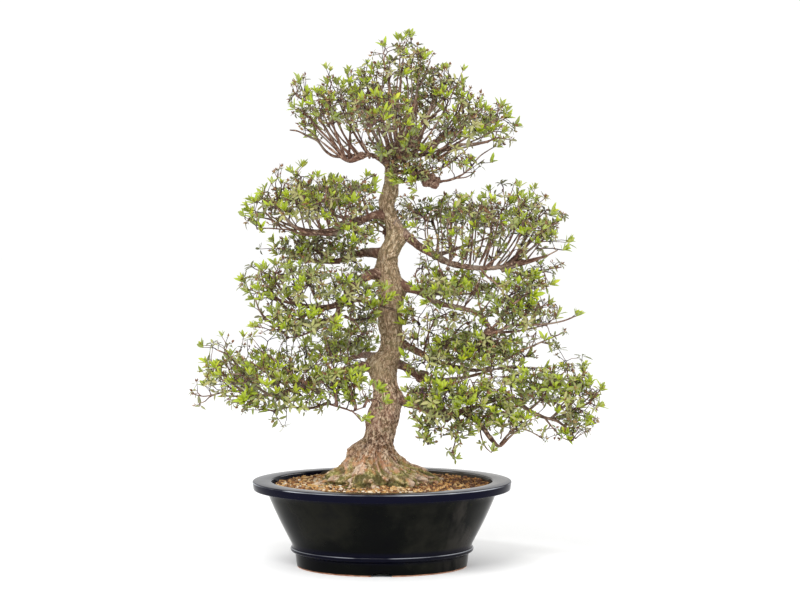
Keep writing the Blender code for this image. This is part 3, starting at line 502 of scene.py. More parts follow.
# Rows of slender stems that rise from the limbs into each mass: the first and last foot and the first and
# last head in pixels of the front view, how many there are, their radius at the foot and their depth at foot
# and head in millimetres.
RISERS = {
    "crown_left": (
        ((352, 159), (384, 158), (316, 100), (354, 76), 6, 1.6, -26, -34),
        ((344, 158), (372, 158), (306, 112), (338, 92), 4, 1.4, -26, 6),
    ),
    "crown_inner_left": (
        ((384, 158), (396, 156), (358, 78), (386, 56), 5, 1.7, -4, 28),
    ),
    "crown_top": (
        ((394, 156), (408, 154), (390, 52), (426, 56), 6, 1.8, 2, 2),
    ),
    "crown_upper_right": (
        ((404, 156), (420, 156), (432, 68), (472, 92), 6, 1.7, 2, 30),
    ),
    "crown_right": (
        ((416, 158), (448, 151), (466, 100), (500, 128), 6, 1.5, -12, -16),
    ),
    "crown_front": (
        ((388, 160), (412, 158), (366, 98), (432, 98), 6, 1.4, -30, -96),
    ),
    "crown_back": (
        ((390, 158), (416, 156), (358, 106), (452, 108), 6, 1.8, 20, 112),
    ),
    "high_left": (
        ((364, 221), (284, 232), (366, 184), (262, 196), 10, 1.4, -22, -34),
        ((350, 228), (300, 234), (340, 178), (284, 176), 5, 1.2, -22, -84),
    ),
    "high_left_back": (
        ((350, 226), (318, 228), (346, 190), (290, 186), 4, 1.3, 20, 92),
    ),
    "high_right": (
        ((424, 250), (498, 268), (418, 208), (518, 190), 10, 1.4, -24, -34),
        ((488, 268), (532, 258), (526, 192), (560, 222), 6, 1.5, -26, -34),
        ((450, 262), (510, 267), (450, 210), (540, 210), 6, 1.2, -26, -88),
    ),
    "high_right_back": (
        ((436, 256), (492, 262), (432, 204), (500, 200), 5, 1.3, 20, 82),
    ),
    "mid_left_high": (
        ((352, 258), (298, 262), (352, 240), (286, 242), 6, 1.1, 50, 56),
    ),
    "mid_left": (
        ((348, 304), (280, 309), (346, 270), (256, 268), 9, 1.3, -44, -60),
    ),
    "low_left": (
        ((344, 394), (240, 397), (338, 360), (206, 358), 12, 1.3, -42, -46),
        ((320, 398), (260, 402), (310, 366), (240, 372), 5, 1.2, -44, -96),
    ),
    "back_left": (
        ((352, 358), (330, 360), (360, 334), (318, 336), 4, 1.2, 70, 140),
    ),
    "mid_right": (
        ((420, 288), (498, 328), (420, 260), (536, 282), 9, 1.2, -26, -30),
        ((505, 330), (560, 322), (516, 294), (564, 302), 5, 1.0, -28, -20),
    ),
    "mid_right_near": (
        ((416, 288), (446, 298), (414, 264), (448, 266), 4, 1.1, -20, -50),
    ),
    "low_mid_right": (
        ((410, 346), (518, 368), (408, 312), (536, 326), 12, 1.2, -4, -6),
    ),
    "low_right_near": (
        ((420, 402), (482, 410), (414, 380), (490, 374), 7, 1.2, -44, -96),
    ),
    "low_right_far": (
        ((504, 394), (574, 412), (500, 372), (594, 368), 9, 1.3, -36, -36),
    ),
    "low_right_hook": (
        ((478, 422), (504, 442), (476, 402), (520, 410), 4, 1.0, -58, -78),
    ),
    "back_right": (
        ((440, 370), (500, 380), (436, 336), (510, 340), 6, 1.2, 90, 140),
    ),
}


def between(start, end, share):
    return tuple(a + (b - a) * share for a, b in zip(start, end))


def riser_routes():
    """The rising stems as rows like those of BOUGHS after their mass, each bowed out and a little uneven."""
    rng = random.Random(SEED + 3)
    routes = []
    rows = [(mass, *row) for mass, group in RISERS.items() for row in group]
    for mass, first_foot, last_foot, first_head, last_head, count, radius, depth, end_depth in rows:
        for index in range(count):
            share = (index + rng.uniform(0, 1)) / count
            foot = between(first_foot, last_foot, share)
            head = between(first_head, last_head, share)
            bow = 0.16 * (head[0] - foot[0]) + rng.uniform(-6, 6)
            route = [foot]
            for step in (0.3, 0.6, 0.85):
                x, y = between(foot, head, step)
                aside = bow * math.sin(math.pi * step) + rng.uniform(-1.2, 1.2)
                route.append((x + aside, y + rng.uniform(-1, 1)))
            route.append((head[0] + rng.uniform(-5, 5), head[1] + rng.choice((-3, 0, 4, 10, 18))))
            spread = rng.uniform(-14, 14)
            thick = radius * rng.uniform(0.8, 1.15)
            routes.append((mass, thick, 0.75, depth, end_depth + spread, tuple(route)))
    return routes


ALL_BOUGHS = [(mass, *row) for mass, rows in BOUGHS.items() for row in rows] + riser_routes()

# Single tufts of leaves that stand apart from each mass: x and y in pixels of the front view, depth in
# millimetres, and whether the leaves are new.
TUFTS = {
    "crown_top": (
        (400, 42, -6, True), (407, 38, 4, True), (418, 45, 10, False), (384, 46, -10, False),
        (375, 52, 0, False), (434, 54, 20, False),
    ),
    "crown_left": (
        (328, 70, -40, True), (348, 72, -20, True), (315, 92, -90, True), (298, 84, -30, True),
        (306, 78, -20, False), (291, 96, -40, False),
    ),
    "crown_right": (
        (482, 94, 10, False), (468, 88, 20, False), (500, 108, -10, True), (505, 118, -20, True),
        (513, 128, -6, False), (514, 140, -14, False),
    ),
    "crown_low": (
        (474, 172, -12, False), (470, 160, -30, False), (482, 164, -12, False), (494, 146, -20, True),
        (408, 172, -50, True), (404, 184, -50, True), (392, 176, -48, True), (448, 162, -44, False),
        (396, 182, -56, True),
    ),
    "high_left": (
        (249, 214, -20, True), (247, 222, -10, False), (262, 231, -60, True), (303, 166, -20, True),
        (316, 178, -70, True), (280, 170, -10, False), (364, 192, -40, True), (372, 176, -20, False),
    ),
    "mid_left": (
        (244, 278, -30, False), (252, 268, -50, False), (388, 300, -58, True), (384, 290, -60, True),
        (372, 313, -54, True), (396, 310, -50, True), (390, 296, -62, True), (380, 306, -60, True),
    ),
    "mid_left_low": (
        (366, 334, -40, False), (358, 346, -30, False),
    ),
    "low_left": (
        (192, 393, -44, False), (204, 386, -46, True), (199, 405, -42, False), (276, 420, -70, False),
        (268, 412, -80, True), (282, 426, -64, False), (204, 346, -40, True), (208, 364, -70, True),
        (320, 412, -60, False),
    ),
    "low_left_near": (
        (363, 421, -108, True), (378, 395, -110, True), (374, 390, -112, True), (384, 402, -112, True),
        (381, 410, -108, False), (364, 402, -104, False), (358, 392, -104, True),
    ),
    "high_right": (
        (518, 186, -60, True), (533, 188, -20, True), (500, 184, -10, False), (546, 196, -10, False),
        (563, 217, -30, False), (566, 240, -36, True), (564, 250, -50, True), (413, 224, -60, True),
        (412, 238, -64, False),
    ),
    "high_right_low": (
        (555, 274, -36, False), (562, 262, -30, False), (532, 276, -70, True), (540, 284, -60, False),
    ),
    "mid_right": (
        (577, 316, -38, True), (565, 331, -48, False), (472, 292, -50, True), (552, 306, -10, False),
        (534, 312, -30, False), (556, 346, -30, False),
    ),
    "mid_right_near": (
        (428, 304, -60, True), (424, 262, -40, False),
    ),
    "low_right_far": (
        (602, 388, -60, True), (597, 408, -56, True), (583, 357, -20, False), (596, 420, -40, False),
        (588, 430, -40, False), (574, 434, -60, False), (557, 352, -10, False),
    ),
    "low_right_hook": (
        (546, 442, -52, False), (528, 428, -60, False),
    ),
    "low_right_near": (
        (422, 428, -84, True), (426, 440, -80, True), (434, 444, -76, False), (452, 452, -84, False),
        (460, 444, -90, False), (454, 460, -80, True), (494, 454, -70, True), (484, 446, -76, False),
        (430, 424, -96, False),
    ),
}


# Loose growth between and below the leaf masses, by the mass that it grows from: its middle and half sizes
# in pixels of the front view, its middle and half size in depth in millimetres, and its number of tips.
FILLS = {
    "crown_left": (
        (342, 132, 30, 14, -30, 40, 16), (338, 84, 12, 8, -30, 26, 10), (300, 90, 10, 8, -30, 24, 12),
        (312, 126, 14, 8, -20, 24, 8),
    ),
    "crown_inner_left": (
        (372, 134, 14, 18, 0, 40, 14),
    ),
    "crown_front": (
        (392, 140, 22, 16, -60, 30, 20),
    ),
    "crown_top": (
        (404, 136, 18, 16, 4, 30, 18),
    ),
    "crown_back": (
        (412, 140, 28, 16, 60, 30, 16),
    ),
    "crown_right": (
        (446, 140, 26, 12, -20, 40, 22), (484, 134, 20, 10, -20, 36, 12), (424, 150, 20, 10, -40, 24, 14),
    ),
    "crown_low": (
        (424, 164, 22, 8, -26, 18, 12), (396, 160, 14, 8, -56, 12, 16), (418, 164, 18, 8, -50, 16, 18),
        (404, 180, 14, 12, -50, 10, 18), (424, 176, 12, 6, -52, 8, 8),
    ),
    "high_left": (
        (292, 178, 20, 12, -20, 30, 14), (270, 224, 18, 8, -30, 30, 12), (352, 200, 16, 16, -40, 30, 14),
        (372, 230, 10, 10, -50, 14, 6), (346, 226, 12, 6, -44, 12, 8), (366, 236, 14, 8, -50, 12, 14),
        (366, 192, 8, 14, -44, 12, 10), (320, 214, 30, 8, -50, 20, 8), (366, 186, 10, 10, -50, 10, 10),
    ),
    "mid_left_high": (
        (352, 244, 20, 10, 20, 36, 20), (360, 268, 10, 8, 10, 24, 10), (340, 256, 16, 8, -10, 20, 16),
        (306, 258, 20, 8, 10, 30, 14),
    ),
    "mid_left": (
        (352, 296, 14, 14, -50, 30, 22), (266, 306, 14, 14, -40, 30, 12), (354, 284, 16, 16, -74, 16, 22),
        (330, 296, 20, 10, -74, 16, 14), (371, 296, 7, 14, -50, 14, 18),
    ),
    "mid_left_low": (
        (358, 322, 12, 18, -40, 36, 26), (298, 326, 28, 10, -50, 36, 20), (370, 320, 6, 10, -50, 12, 10),
        (368, 330, 7, 14, -44, 14, 14),
    ),
    "low_left": (
        (256, 398, 34, 8, -56, 40, 26), (306, 402, 22, 8, -60, 36, 16), (300, 344, 30, 10, -20, 44, 20),
        (232, 344, 22, 8, -40, 40, 16), (340, 396, 16, 8, -80, 20, 14), (330, 370, 26, 14, -70, 26, 26),
        (266, 404, 24, 6, -70, 18, 16), (270, 404, 50, 8, -80, 24, 22),
    ),
    "low_left_near": (
        (346, 384, 16, 12, -90, 24, 20), (356, 396, 14, 10, -104, 8, 14),
    ),
    "back_left": (
        (350, 352, 18, 14, 110, 30, 14),
    ),
    "high_right": (
        (494, 252, 34, 8, -30, 40, 26), (548, 238, 14, 16, -30, 40, 18), (440, 246, 14, 10, -40, 24, 10),
        (408, 212, 6, 18, -44, 14, 14), (470, 240, 40, 12, -36, 30, 18), (530, 236, 20, 12, -36, 30, 10),
        (512, 216, 44, 22, -34, 40, 20),
    ),
    "high_right_low": (
        (538, 264, 22, 6, -44, 26, 12), (518, 286, 16, 12, -50, 26, 14),
    ),
    "mid_right_near": (
        (440, 284, 18, 14, -30, 40, 18), (430, 262, 10, 8, -40, 14, 8),
    ),
    "mid_right": (
        (520, 318, 26, 12, -30, 30, 14), (474, 306, 26, 10, -20, 40, 12), (540, 336, 22, 12, -30, 30, 12),
        (500, 300, 22, 12, -40, 24, 6),
    ),
    "low_mid_right": (
        (412, 324, 16, 16, -16, 36, 26), (450, 332, 26, 14, -10, 50, 22), (500, 340, 34, 12, -10, 50, 20),
        (530, 366, 18, 14, -10, 40, 16), (446, 362, 20, 12, -46, 18, 26), (486, 366, 24, 10, -50, 20, 22),
        (424, 366, 12, 10, -40, 14, 10), (446, 314, 20, 8, -34, 18, 14), (478, 320, 14, 8, -20, 18, 10),
        (409, 312, 6, 16, -34, 14, 16), (410, 350, 7, 18, -40, 14, 18), (446, 310, 22, 8, -20, 20, 16),
    ),
    "back_right": (
        (520, 380, 30, 12, 120, 30, 16),
    ),
    "low_right_near": (
        (446, 410, 22, 10, -80, 24, 16), (488, 404, 22, 16, -80, 30, 26), (428, 434, 10, 12, -80, 16, 12),
        (470, 430, 14, 12, -74, 18, 12), (438, 394, 22, 9, -90, 20, 22), (474, 388, 20, 10, -80, 24, 20),
        (466, 432, 24, 8, -80, 14, 18), (444, 428, 18, 8, -80, 14, 18), (414, 398, 8, 10, -70, 14, 12),
        (436, 408, 26, 12, -100, 16, 22), (462, 398, 26, 10, -104, 14, 22),
    ),
    "low_right_far": (
        (530, 394, 20, 14, -40, 40, 22), (584, 416, 14, 14, -44, 26, 22), (568, 426, 12, 12, -50, 20, 12),
        (530, 378, 22, 8, -50, 24, 14), (580, 370, 12, 8, -40, 22, 16), (500, 390, 24, 12, -70, 20, 24),
        (576, 422, 16, 12, -50, 26, 18), (556, 434, 16, 8, -50, 20, 10), (596, 396, 8, 14, -46, 20, 10),
    ),
    "low_right_hook": (
        (500, 418, 18, 14, -60, 24, 16), (512, 408, 20, 10, -70, 20, 14),
    ),
}


def pixel_place(x, y, depth):
    """A point from pixels of the front view and a depth in millimetres."""
    return placed((x - FRONT_ZERO[0]) * PIXEL, depth, (FRONT_ZERO[1] - y) * PIXEL)


def placed(x, y, z):
    """A point given in millimetres as the front view shows it, carried to its depth y."""
    share = 1 + y * MM / EYE_DISTANCE
    point = Vector((EYE_X + (x * MM - EYE_X) * share, y * MM, EYE_HEIGHT + (z * MM - EYE_HEIGHT) * share))
    return point + ORIGIN


def mesh_from_arrays(name, points, faces, colours):
    """A mesh from an array of points, a list of faces, and (name, array) colours held at the points."""
    mesh = bpy.data.meshes.new(name)
    mesh.from_pydata(points, [], faces)
    for label, values in colours:
        layer = mesh.attributes.new(label, "FLOAT_COLOR", "POINT")
        rows = np.ones((len(points), 4))
        rows[:, :values.shape[1]] = values
        layer.data.foreach_set("color", rows.ravel())
    mesh.validate()
    mesh.update()
    return mesh


def smooth(mesh, degrees=180):
    mesh.shade_smooth()
    if degrees < 180:
        mesh.set_sharp_from_angle(angle=math.radians(degrees))


def new_piece(name, points, faces, material, colours=(), degrees=180):
    """A piece of the scene. Edges sharper than so many degrees stay sharp, and at 0 every face is flat."""
    mesh = mesh_from_arrays(name, points, faces, colours)
    if degrees:
        smooth(mesh, degrees)
    mesh.materials.append(material)
    obj = bpy.data.objects.new(name, mesh)
    bpy.context.scene.collection.objects.link(obj)
    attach(obj, "root")
    return obj


def shifted(faces, base):
    """Faces of a part whose first point is the mesh's point number base."""
    return [tuple(base + corner for corner in face) for face in faces]


def curve_rows(rows, step):
    """Rows of numbers that start with x, y, z, read along a smooth curve about every step of its length."""
    rows = np.array(rows, float)
    padded = np.vstack([2 * rows[0] - rows[1], rows, 2 * rows[-1] - rows[-2]])
    out = []
    for i in range(1, len(padded) - 2):
        before, start, end, after = padded[i - 1:i + 3]
        count = max(1, round(np.linalg.norm(end[:3] - start[:3]) / step))
        for k in range(count):
            t = k / count
            out.append(
                0.5 * (
                    2 * start + (end - before) * t
                    + (2 * before - 5 * start + 4 * end - after) * t**2
                    + (3 * start - before - 3 * end + after) * t**3
                )
            )
    out.append(padded[-2])
    return np.array(out)


def tube_faces(rings, around):
    """Quads between rings of points, and one flat face over each end."""
    faces = []
    for ring in range(rings - 1):
        low = ring * around
        for i in range(around):
            after = (i + 1) % around
            faces.append((low + i, low + after, low + around + after, low + around + i))
    faces.append(tuple(range(around - 1, -1, -1)))
    faces.append(tuple(range((rings - 1) * around, rings * around)))
    return faces


def frames_along(path):
    """For each point of a path, two directions across it that turn as little as they can."""
    ways = np.gradient(path, axis=0)
    ways /= np.linalg.norm(ways, axis=1)[:, None]
    across = np.cross(ways[0], (0, 0, 1.0))
    if np.linalg.norm(across) < 0.1:
        across = np.array((1.0, 0, 0))
    sides, ups = [], []
    for way in ways:
        across = across - way * across.dot(way)
        across /= np.linalg.norm(across)
        sides.append(across)
        ups.append(np.cross(way, across))
    return np.array(sides), np.array(ups)


def bark_groove(point, size):
    """0 in the cracks of the bark and 1 on its flakes, at a point in the wood's own long coordinates."""
    warped = point / size + 0.9 * noise.noise_vector(point / (1.7 * size))
    near = noise.voronoi(warped)[0]
    return min(1.0, (near[1] - near[0]) * 2.0)


def fissure(point):
    """0 on even bark and 1 in a long crack."""
    bent = Vector((point.x, point.y, point.z * 0.45)) / (8 * MM) + 0.6 * noise.noise_vector(point / (20 * MM))
    ridge = 1 - abs(noise.noise(bent)) * 3.2
    return max(0.0, ridge)**2


def trunk_rows():
    rows = []
    for x, y, z, radius, depth_share, lobe in TRUNK:
        rows.append((*placed(x, y, z), radius * MM, depth_share, lobe))
    return curve_rows(rows, TRUNK_STEP)


def root_swell(angle, lobe):
    roots = math.cos(ROOT_LOBES * angle + ROOT_TURN)
    uneven = math.cos(UNEVEN_LOBES * angle + UNEVEN_TURN)
    fine = math.cos(17 * angle + 2.0 + 1.5 * math.sin(2 * angle))
    return 1 + lobe * (roots + UNEVEN_SHARE * uneven + 0.28 * fine)


# Swellings of the trunk: the angle round it, the height, how far it stands out and its half size, in
# millimetres but for the angle.
SWELLINGS = (
    (math.pi + 0.1, 191, 10, 10),
    (math.pi, 329, 4, 10),
    (0.2, 272, 5, 13),
    (-0.2, 350, 4, 12),
    (-0.3, 448, 5, 14),
    (0.1, 528, 4, 14),
    (math.pi, 468, 5, 12),
    (-1.9, 214, 3, 12),
    (-1.2, 240, 3, 9),
    (-2.2, 300, 3, 9),
    (-1.4, 392, 3, 10),
    (-2.0, 430, 3, 9),
    (-1.3, 500, 3, 9),
)


def swelling(angle, height, radius):
    """How far the swellings near a place push the trunk out."""
    out = 0.0
    for middle, level, stand, half in SWELLINGS:
        turn = (angle - middle + math.pi) % (2 * math.pi) - math.pi
        gap = math.hypot(turn * radius, height - level * MM) / (half * MM)
        if gap < 3:
            out += stand * MM * math.exp(-gap * gap)
    return out


def root_share(height):
    """0 on the trunk and 1 at the foot of the root base."""
    return min(1.0, max(0.0, (ROOT_TOP - height) / ROOT_FADE))


def root_lumps(angle, height):
    """The ridges that run down the root base, and the toes that they end in."""
    bend = 0.5 * noise.noise(Vector((angle * 2, height / (30 * MM), 4)))
    ridge = 0.5 * math.cos(13 * (angle + bend) + 1.0) + 0.35 * math.cos(23 * (angle + 0.6 * bend) + 2.0)
    around = Vector((math.cos(angle) * 5.0, math.sin(angle) * 5.0, height / (19 * MM)))
    near = noise.voronoi(around + 0.4 * noise.noise_vector(around * 1.6))[0]
    toes = min(1.0, 2.1 * (near[1] - near[0])) * 1.6 - 1.0
    foot = min(1.0, max(0.0, (TOES_TOP - height) / TOES_FADE))
    return ridge * (1 - 0.5 * foot) + toes * foot * 1.3


def trunk_wood(material):
    """The trunk and its root base, with bark in relief."""
    rows = trunk_rows()
    points, tones = [], []
    travelled = 0.0
    previous = rows[0][:3]
    for x, y, z, radius, depth_share, lobe in rows:
        travelled += np.linalg.norm(np.array((x, y, z)) - previous)
        previous = np.array((x, y, z))
        for step in range(TRUNK_AROUND):
            angle = 2 * math.pi * step / TRUNK_AROUND
            reach = radius * root_swell(angle, lobe)
            out = Vector((math.cos(angle), math.sin(angle) * depth_share, 0))
            flat = out * reach
            grain = Vector((flat.x, flat.y, travelled / BARK_STRETCH))
            crack = fissure(grain)
            groove = bark_groove(grain, BARK_PLATE) * (1 - 0.8 * crack)
            coarse = noise.noise(grain / COARSE_SIZE)
            fine = noise.noise(grain / FINE_SIZE)
            flute = noise.noise(Vector((flat.x, flat.y, travelled * 0.28)) / FLUTE_SIZE)
            height = BARK_DEPTH * (groove - 0.7) - FISSURE_DEPTH * crack + FLUTE_DEPTH * flute
            height += COARSE_DEPTH * coarse + FINE_DEPTH * fine
            low = root_share(z)
            lump = root_lumps(angle, z) if low > 0 else 0.0
            height += ROOT_RELIEF * low * lump
            height = height * min(1.0, radius / FULL_RELIEF_RADIUS) + swelling(angle, z, radius)
            points.append(Vector((x, y, z)) + flat + out * height)
            tones.append((groove, 0.5 + 0.5 * coarse, 0.5 + 0.35 * lump))
    faces = tube_faces(len(rows), TRUNK_AROUND)
    return new_piece("trunk_wood", points, faces, material, [("bark", np.array(tones))])


def limb_rows(name, step):
    return curve_rows([(*placed(x, y, z), radius * MM) for x, y, z, radius in LIMBS[name]], step)


def limb_wood(material):
    """Every limb as a bark-covered tube that swells into the wood it grows from."""
    points, faces, tones = [], [], []
    for number, name in enumerate(LIMBS):
        rows = limb_rows(name, LIMB_STEP)
        path, radii = rows[:, :3], rows[:, 3]
        sides, ups = frames_along(path)
        base = len(points)
        for ring, (middle, radius) in enumerate(zip(path, radii)):
            along = ring * LIMB_STEP
            knot = noise.noise(Vector((along / LIMB_UNEVEN_LENGTH, number * 3.7, 0)))
            collar = COLLAR_SWELL * math.exp(-along / COLLAR_LENGTH)
            slim = CROWN_SLIM if name.startswith("crown") else LIMB_SLIM
            slim *= (1 + UNEVEN_WOOD * knot + collar) * (1 - LIMB_TAPER * ring / len(path))
            wide = radius * slim
            for step in range(LIMB_AROUND):
                angle = 2 * math.pi * step / LIMB_AROUND
                out = sides[ring] * math.cos(angle) + ups[ring] * math.sin(angle)
                grain = Vector((
                    wide * math.cos(angle), wide * math.sin(angle), along / BARK_STRETCH + number,
                ))
                groove = bark_groove(grain, LIMB_PLATE)
                coarse = noise.noise(grain / LIMB_COARSE_SIZE)
                height = LIMB_BARK_DEPTH * (groove - 0.5 + 1.3 * coarse) * min(1, radius / (6 * MM))
                points.append(middle + out * (wide + height))
                tones.append((groove, 0.5 + 0.5 * coarse, 0.0))
        faces += shifted(tube_faces(len(rows), LIMB_AROUND), base)
    return new_piece("limb_wood", points, faces, material, [("bark", np.array(tones))])


def bough_rows(step, radius, end_radius, depth, end_depth, route):
    """A bough's smooth line of points and radii."""
    last = len(route) - 1
    rows = []
    for index, (x, y) in enumerate(route):
        share = index / last
        thick = radius + (end_radius - radius) * share
        rows.append((*pixel_place(x, y, depth + (end_depth - depth) * share), thick * MM))
    return curve_rows(rows, step)


def unit(vector):
    return vector / max(np.linalg.norm(vector), 1e-9)


def spaced_sites(path, step, first):
    """Places along a path from which twigs grow, each with the way that the path runs there."""
    ways = np.gradient(path, axis=0)
    length = np.concatenate([[0], np.cumsum(np.linalg.norm(np.diff(path, axis=0), axis=1))])
    count = max(2, int(length[-1] * (1 - first) / step))
    sites = []
    for target in np.linspace(length[-1] * first, length[-1], count):
        index = int(np.abs(length - target).argmin())
        sites.append((path[index], unit(ways[index])))
    return sites


class Twigs:
    """The fine wood of one leaf mass: curved runs that fork again and again on their way to the tips."""

    def __init__(self, rng):
        self.rng = rng
        self.runs = []
        self.ends = []

    def radius(self, count):
        return TWIG_TIP_RADIUS * count**(1 / PIPE_POWER)

    def grow(self, sites, tips):
        """Shares the tips out among the sites, and grows a twig from each site to its own."""
        starts = np.array([site for site, _ in sites])
        ways = np.array([way for _, way in sites])
        groups = {}
        for tip in tips:
            gaps = tip[0] - starts
            far = np.linalg.norm(gaps, axis=1)
            ahead = (gaps * ways).sum(1)
            below = np.maximum(0, -gaps[:, 2])
            aside = np.hypot(gaps[:, 0], gaps[:, 1])
            cost = far + ASIDE_COST * aside - AHEAD_GAIN * ahead + BELOW_COST * below
            cost += np.where(far < CROWDED, CROWDED_COST, 0)
            groups.setdefault(int(cost.argmin()), []).append(tip)
        for index, group in sorted(groups.items()):
            self.fork(starts[index], ways[index], group, 1.0, 0)

    def fork(self, start, way, tips, thick, level):
        rng = self.rng
        middle = np.mean([tip[0] for tip in tips], axis=0)
        far = np.linalg.norm(middle - start)
        if len(tips) == 1:
            end = tips[0][0]
        else:
            share = rng.uniform(*FORK_SHARE)
            wobble = np.array([rng.gauss(0, 0.045) for _ in range(3)]) * far
            end = start + (middle - start) * share + wobble
        run, onward = self.run(start, way, end, level)
        radius = self.radius(len(tips))
        self.runs.append((run, radius * (1.12 if level else 1.3), radius * 0.9))
        if len(tips) == 1:
            self.ends.append((end, onward, tips[0][1]))
            return
        gaps = np.array([unit(tip[0] - end) for tip in tips])
        centred = gaps - gaps.mean(0)
        axis = np.linalg.svd(centred, full_matrices=False)[2][0]
        order = np.argsort(centred @ axis, kind="stable")
        cut = min(len(tips) - 1, max(1, round(len(tips) * rng.uniform(*SPLIT_SHARE))))
        self.fork(end, onward, [tips[i] for i in order[:cut]], radius, level + 1)
        self.fork(end, onward, [tips[i] for i in order[cut:]], radius, level + 1)

    def run(self, start, way, end, level):
        """A run that leaves along its parent and bends to its end, and the way that it ends."""
        far = np.linalg.norm(end - start)
        aim = unit(0.5 * way + unit(end - start) + (0, 0, 0.2 if level else 0.4))
        bend = start + aim * far * 0.45
        count = max(2, round(far / TWIG_STEP))
        path = [start]
        for k in range(1, count + 1):
            t = k / count
            spot = start * (1 - t)**2 + bend * 2 * t * (1 - t) + end * t**2
            if k < count:
                spot = spot + np.array([self.rng.uniform(-0.6, 0.6) * MM for _ in range(3)])
            path.append(spot)
        return np.array(path), unit(end - bend)


def mass_tips(middle, half, count, lowest, rng):
    """Uneven clusters of points over and through a dome-shaped leaf mass."""
    tips = []
    clusters = max(3, round(count / TIPS_PER_CLUSTER))
    seed = Vector((rng.uniform(0, 50), rng.uniform(0, 50), rng.uniform(0, 50)))
    for index in range(clusters):
        up = 1 - (1 - lowest) * (index + 0.5) / clusters
        angle = index * GOLDEN_ANGLE + rng.uniform(-0.25, 0.25)
        flat = math.sqrt(max(0, 1 - up * up))
        way = Vector((flat * math.cos(angle), flat * math.sin(angle), up))
        reach = TIP_REACH[index % len(TIP_REACH)] * (1 + 0.14 * noise.noise(way * 1.8 + seed))
        spot = middle + Vector([way[k] * (half[k] - LEAF_MARGIN) * MM for k in range(3)]) * reach
        for _ in range(rng.choice((2, 2, 3, 3))):
            shift = Vector((rng.gauss(0, 1), rng.gauss(0, 1), rng.gauss(0, 0.8))) * TIP_SPREAD
            tips.append(np.array(spot + shift))
    return tips


TRUNK_LINE = trunk_rows()


def hides_trunk(tip):
    """Whether a whorl there would stand in the trunk, or in front of it below the crown."""
    row = TRUNK_LINE[np.abs(TRUNK_LINE[:, 2] - tip[2]).argmin()]
    aside = abs(tip[0] - row[0])
    inside = math.hypot(tip[0] - row[0], tip[1] - row[1]) < row[3] + 5 * MM
    in_front = tip[1] < row[1] and aside < row[3] - 1 * MM and tip[2] < CLEAR_TRUNK_TOP
    return inside or in_front


def add_tube(path, radii, sides_count, points, faces):
    """Adds a tube along a path to lists of points and faces."""
    sides, ups = frames_along(path)
    base = len(points)
    for middle, radius, side, up in zip(path, radii, sides, ups):
        for step in range(sides_count):
            angle = 2 * math.pi * step / sides_count
            points.append(middle + (side * math.cos(angle) + up * math.sin(angle)) * radius)
    faces += shifted(tube_faces(len(path), sides_count), base)


def twig_wood(name, runs, material):
    points, faces = [], []
    for path, start_radius, end_radius in runs:
        radii = np.linspace(start_radius, end_radius, len(path))
        sides_count = THICK_TWIG_SIDES if start_radius > THICK_TWIG_RADIUS else TWIG_SIDES
        add_tube(path, radii, sides_count, points, faces)
    return new_piece(name, points, faces, material)


def bough_wood(material):
    """The boughs that show between the leaves, with knuckles where twigs were cut."""
    points, faces, tones = [], [], []
    for number, (_, *shape) in enumerate(ALL_BOUGHS):
        rows = bough_rows(BOUGH_STEP, *shape)
        along = np.arange(len(rows)) * BOUGH_STEP
        knuckles = [noise.noise(Vector((far / KNUCKLE_LENGTH, number * 2.3, 1))) for far in along]
        radii = rows[:, 3] * (1 + UNEVEN_WOOD * np.array(knuckles))
        before = len(points)
        add_tube(rows[:, :3], radii, BOUGH_AROUND, points, faces)
        tones += [(bark_groove(Vector(point), LIMB_PLATE), 0.5, 0.0) for point in points[before:]]
    return new_piece("bough_wood", points, faces, material, [("bark", np.array(tones))])


def leaf_template(stations, profile):
    """One leaf a unit long and wide: (points, faces). It lies along X, its width along Y, its face up."""
    points = [(0, 0, 0)]
    for along, wide in zip(stations, profile):
        points += [(along, -wide / 2, 0), (along, 0, 1), (along, wide / 2, 0), (along, 0, -1)]
    points.append((1, 0, 0))
    faces = []
    tip = len(points) - 1
    for k in range(4):
        after = (k + 1) % 4
        faces.append((0, 1 + after, 1 + k))
        faces.append((tip, tip - 4 + k, tip - 4 + after))
        for station in range(len(stations) - 1):
            low = 1 + 4 * station
            faces.append((low + k, low + after, low + 4 + after, low + 4 + k))
    return np.array(points, float), faces


LEAF = leaf_template(LEAF_STATIONS, LEAF_PROFILE)
BUD = leaf_template(BUD_STATIONS, BUD_PROFILE)


class Leaves:
    """Leaves gathered for one piece. Each is a template, folded, arched and turned into its place."""

    def __init__(self):
        self.points, self.faces, self.blade, self.tint = [], [], [], []
        self.size = 0

    def add(self, template, root, way, face, length, width, fold, droop, tint):
        flat, corners = template
        along, across, thick = flat.T
        side = np.cross(face, way)
        x = along * length * (1 - 0.25 * abs(droop) * along)
        y = across * width
        z = np.abs(across) * width * fold - droop * length * along**2 + thick * LEAF_THICK / 2
        self.points.append(root + x[:, None] * way + y[:, None] * side + z[:, None] * face)
        self.blade.append(np.stack([along, across + 0.5, 0.5 + 0.5 * np.sign(thick)], 1))
        self.tint.append(np.tile(tint, (len(along), 1)))
        self.faces += shifted(corners, self.size)
        self.size += len(flat)

    def build(self, name, material):
        colours = [("blade", np.vstack(self.blade)), ("tint", np.vstack(self.tint))]
        return new_piece(name, np.vstack(self.points), self.faces, material, colours, 60)


def greenness(tip):
    """How green old leaves are: less in the upper masses, which carry more bud scales."""
    return min(1.0, max(0.0, (NO_GREEN_HEIGHT - tip[2]) / (NO_GREEN_HEIGHT - ALL_GREEN_HEIGHT)))


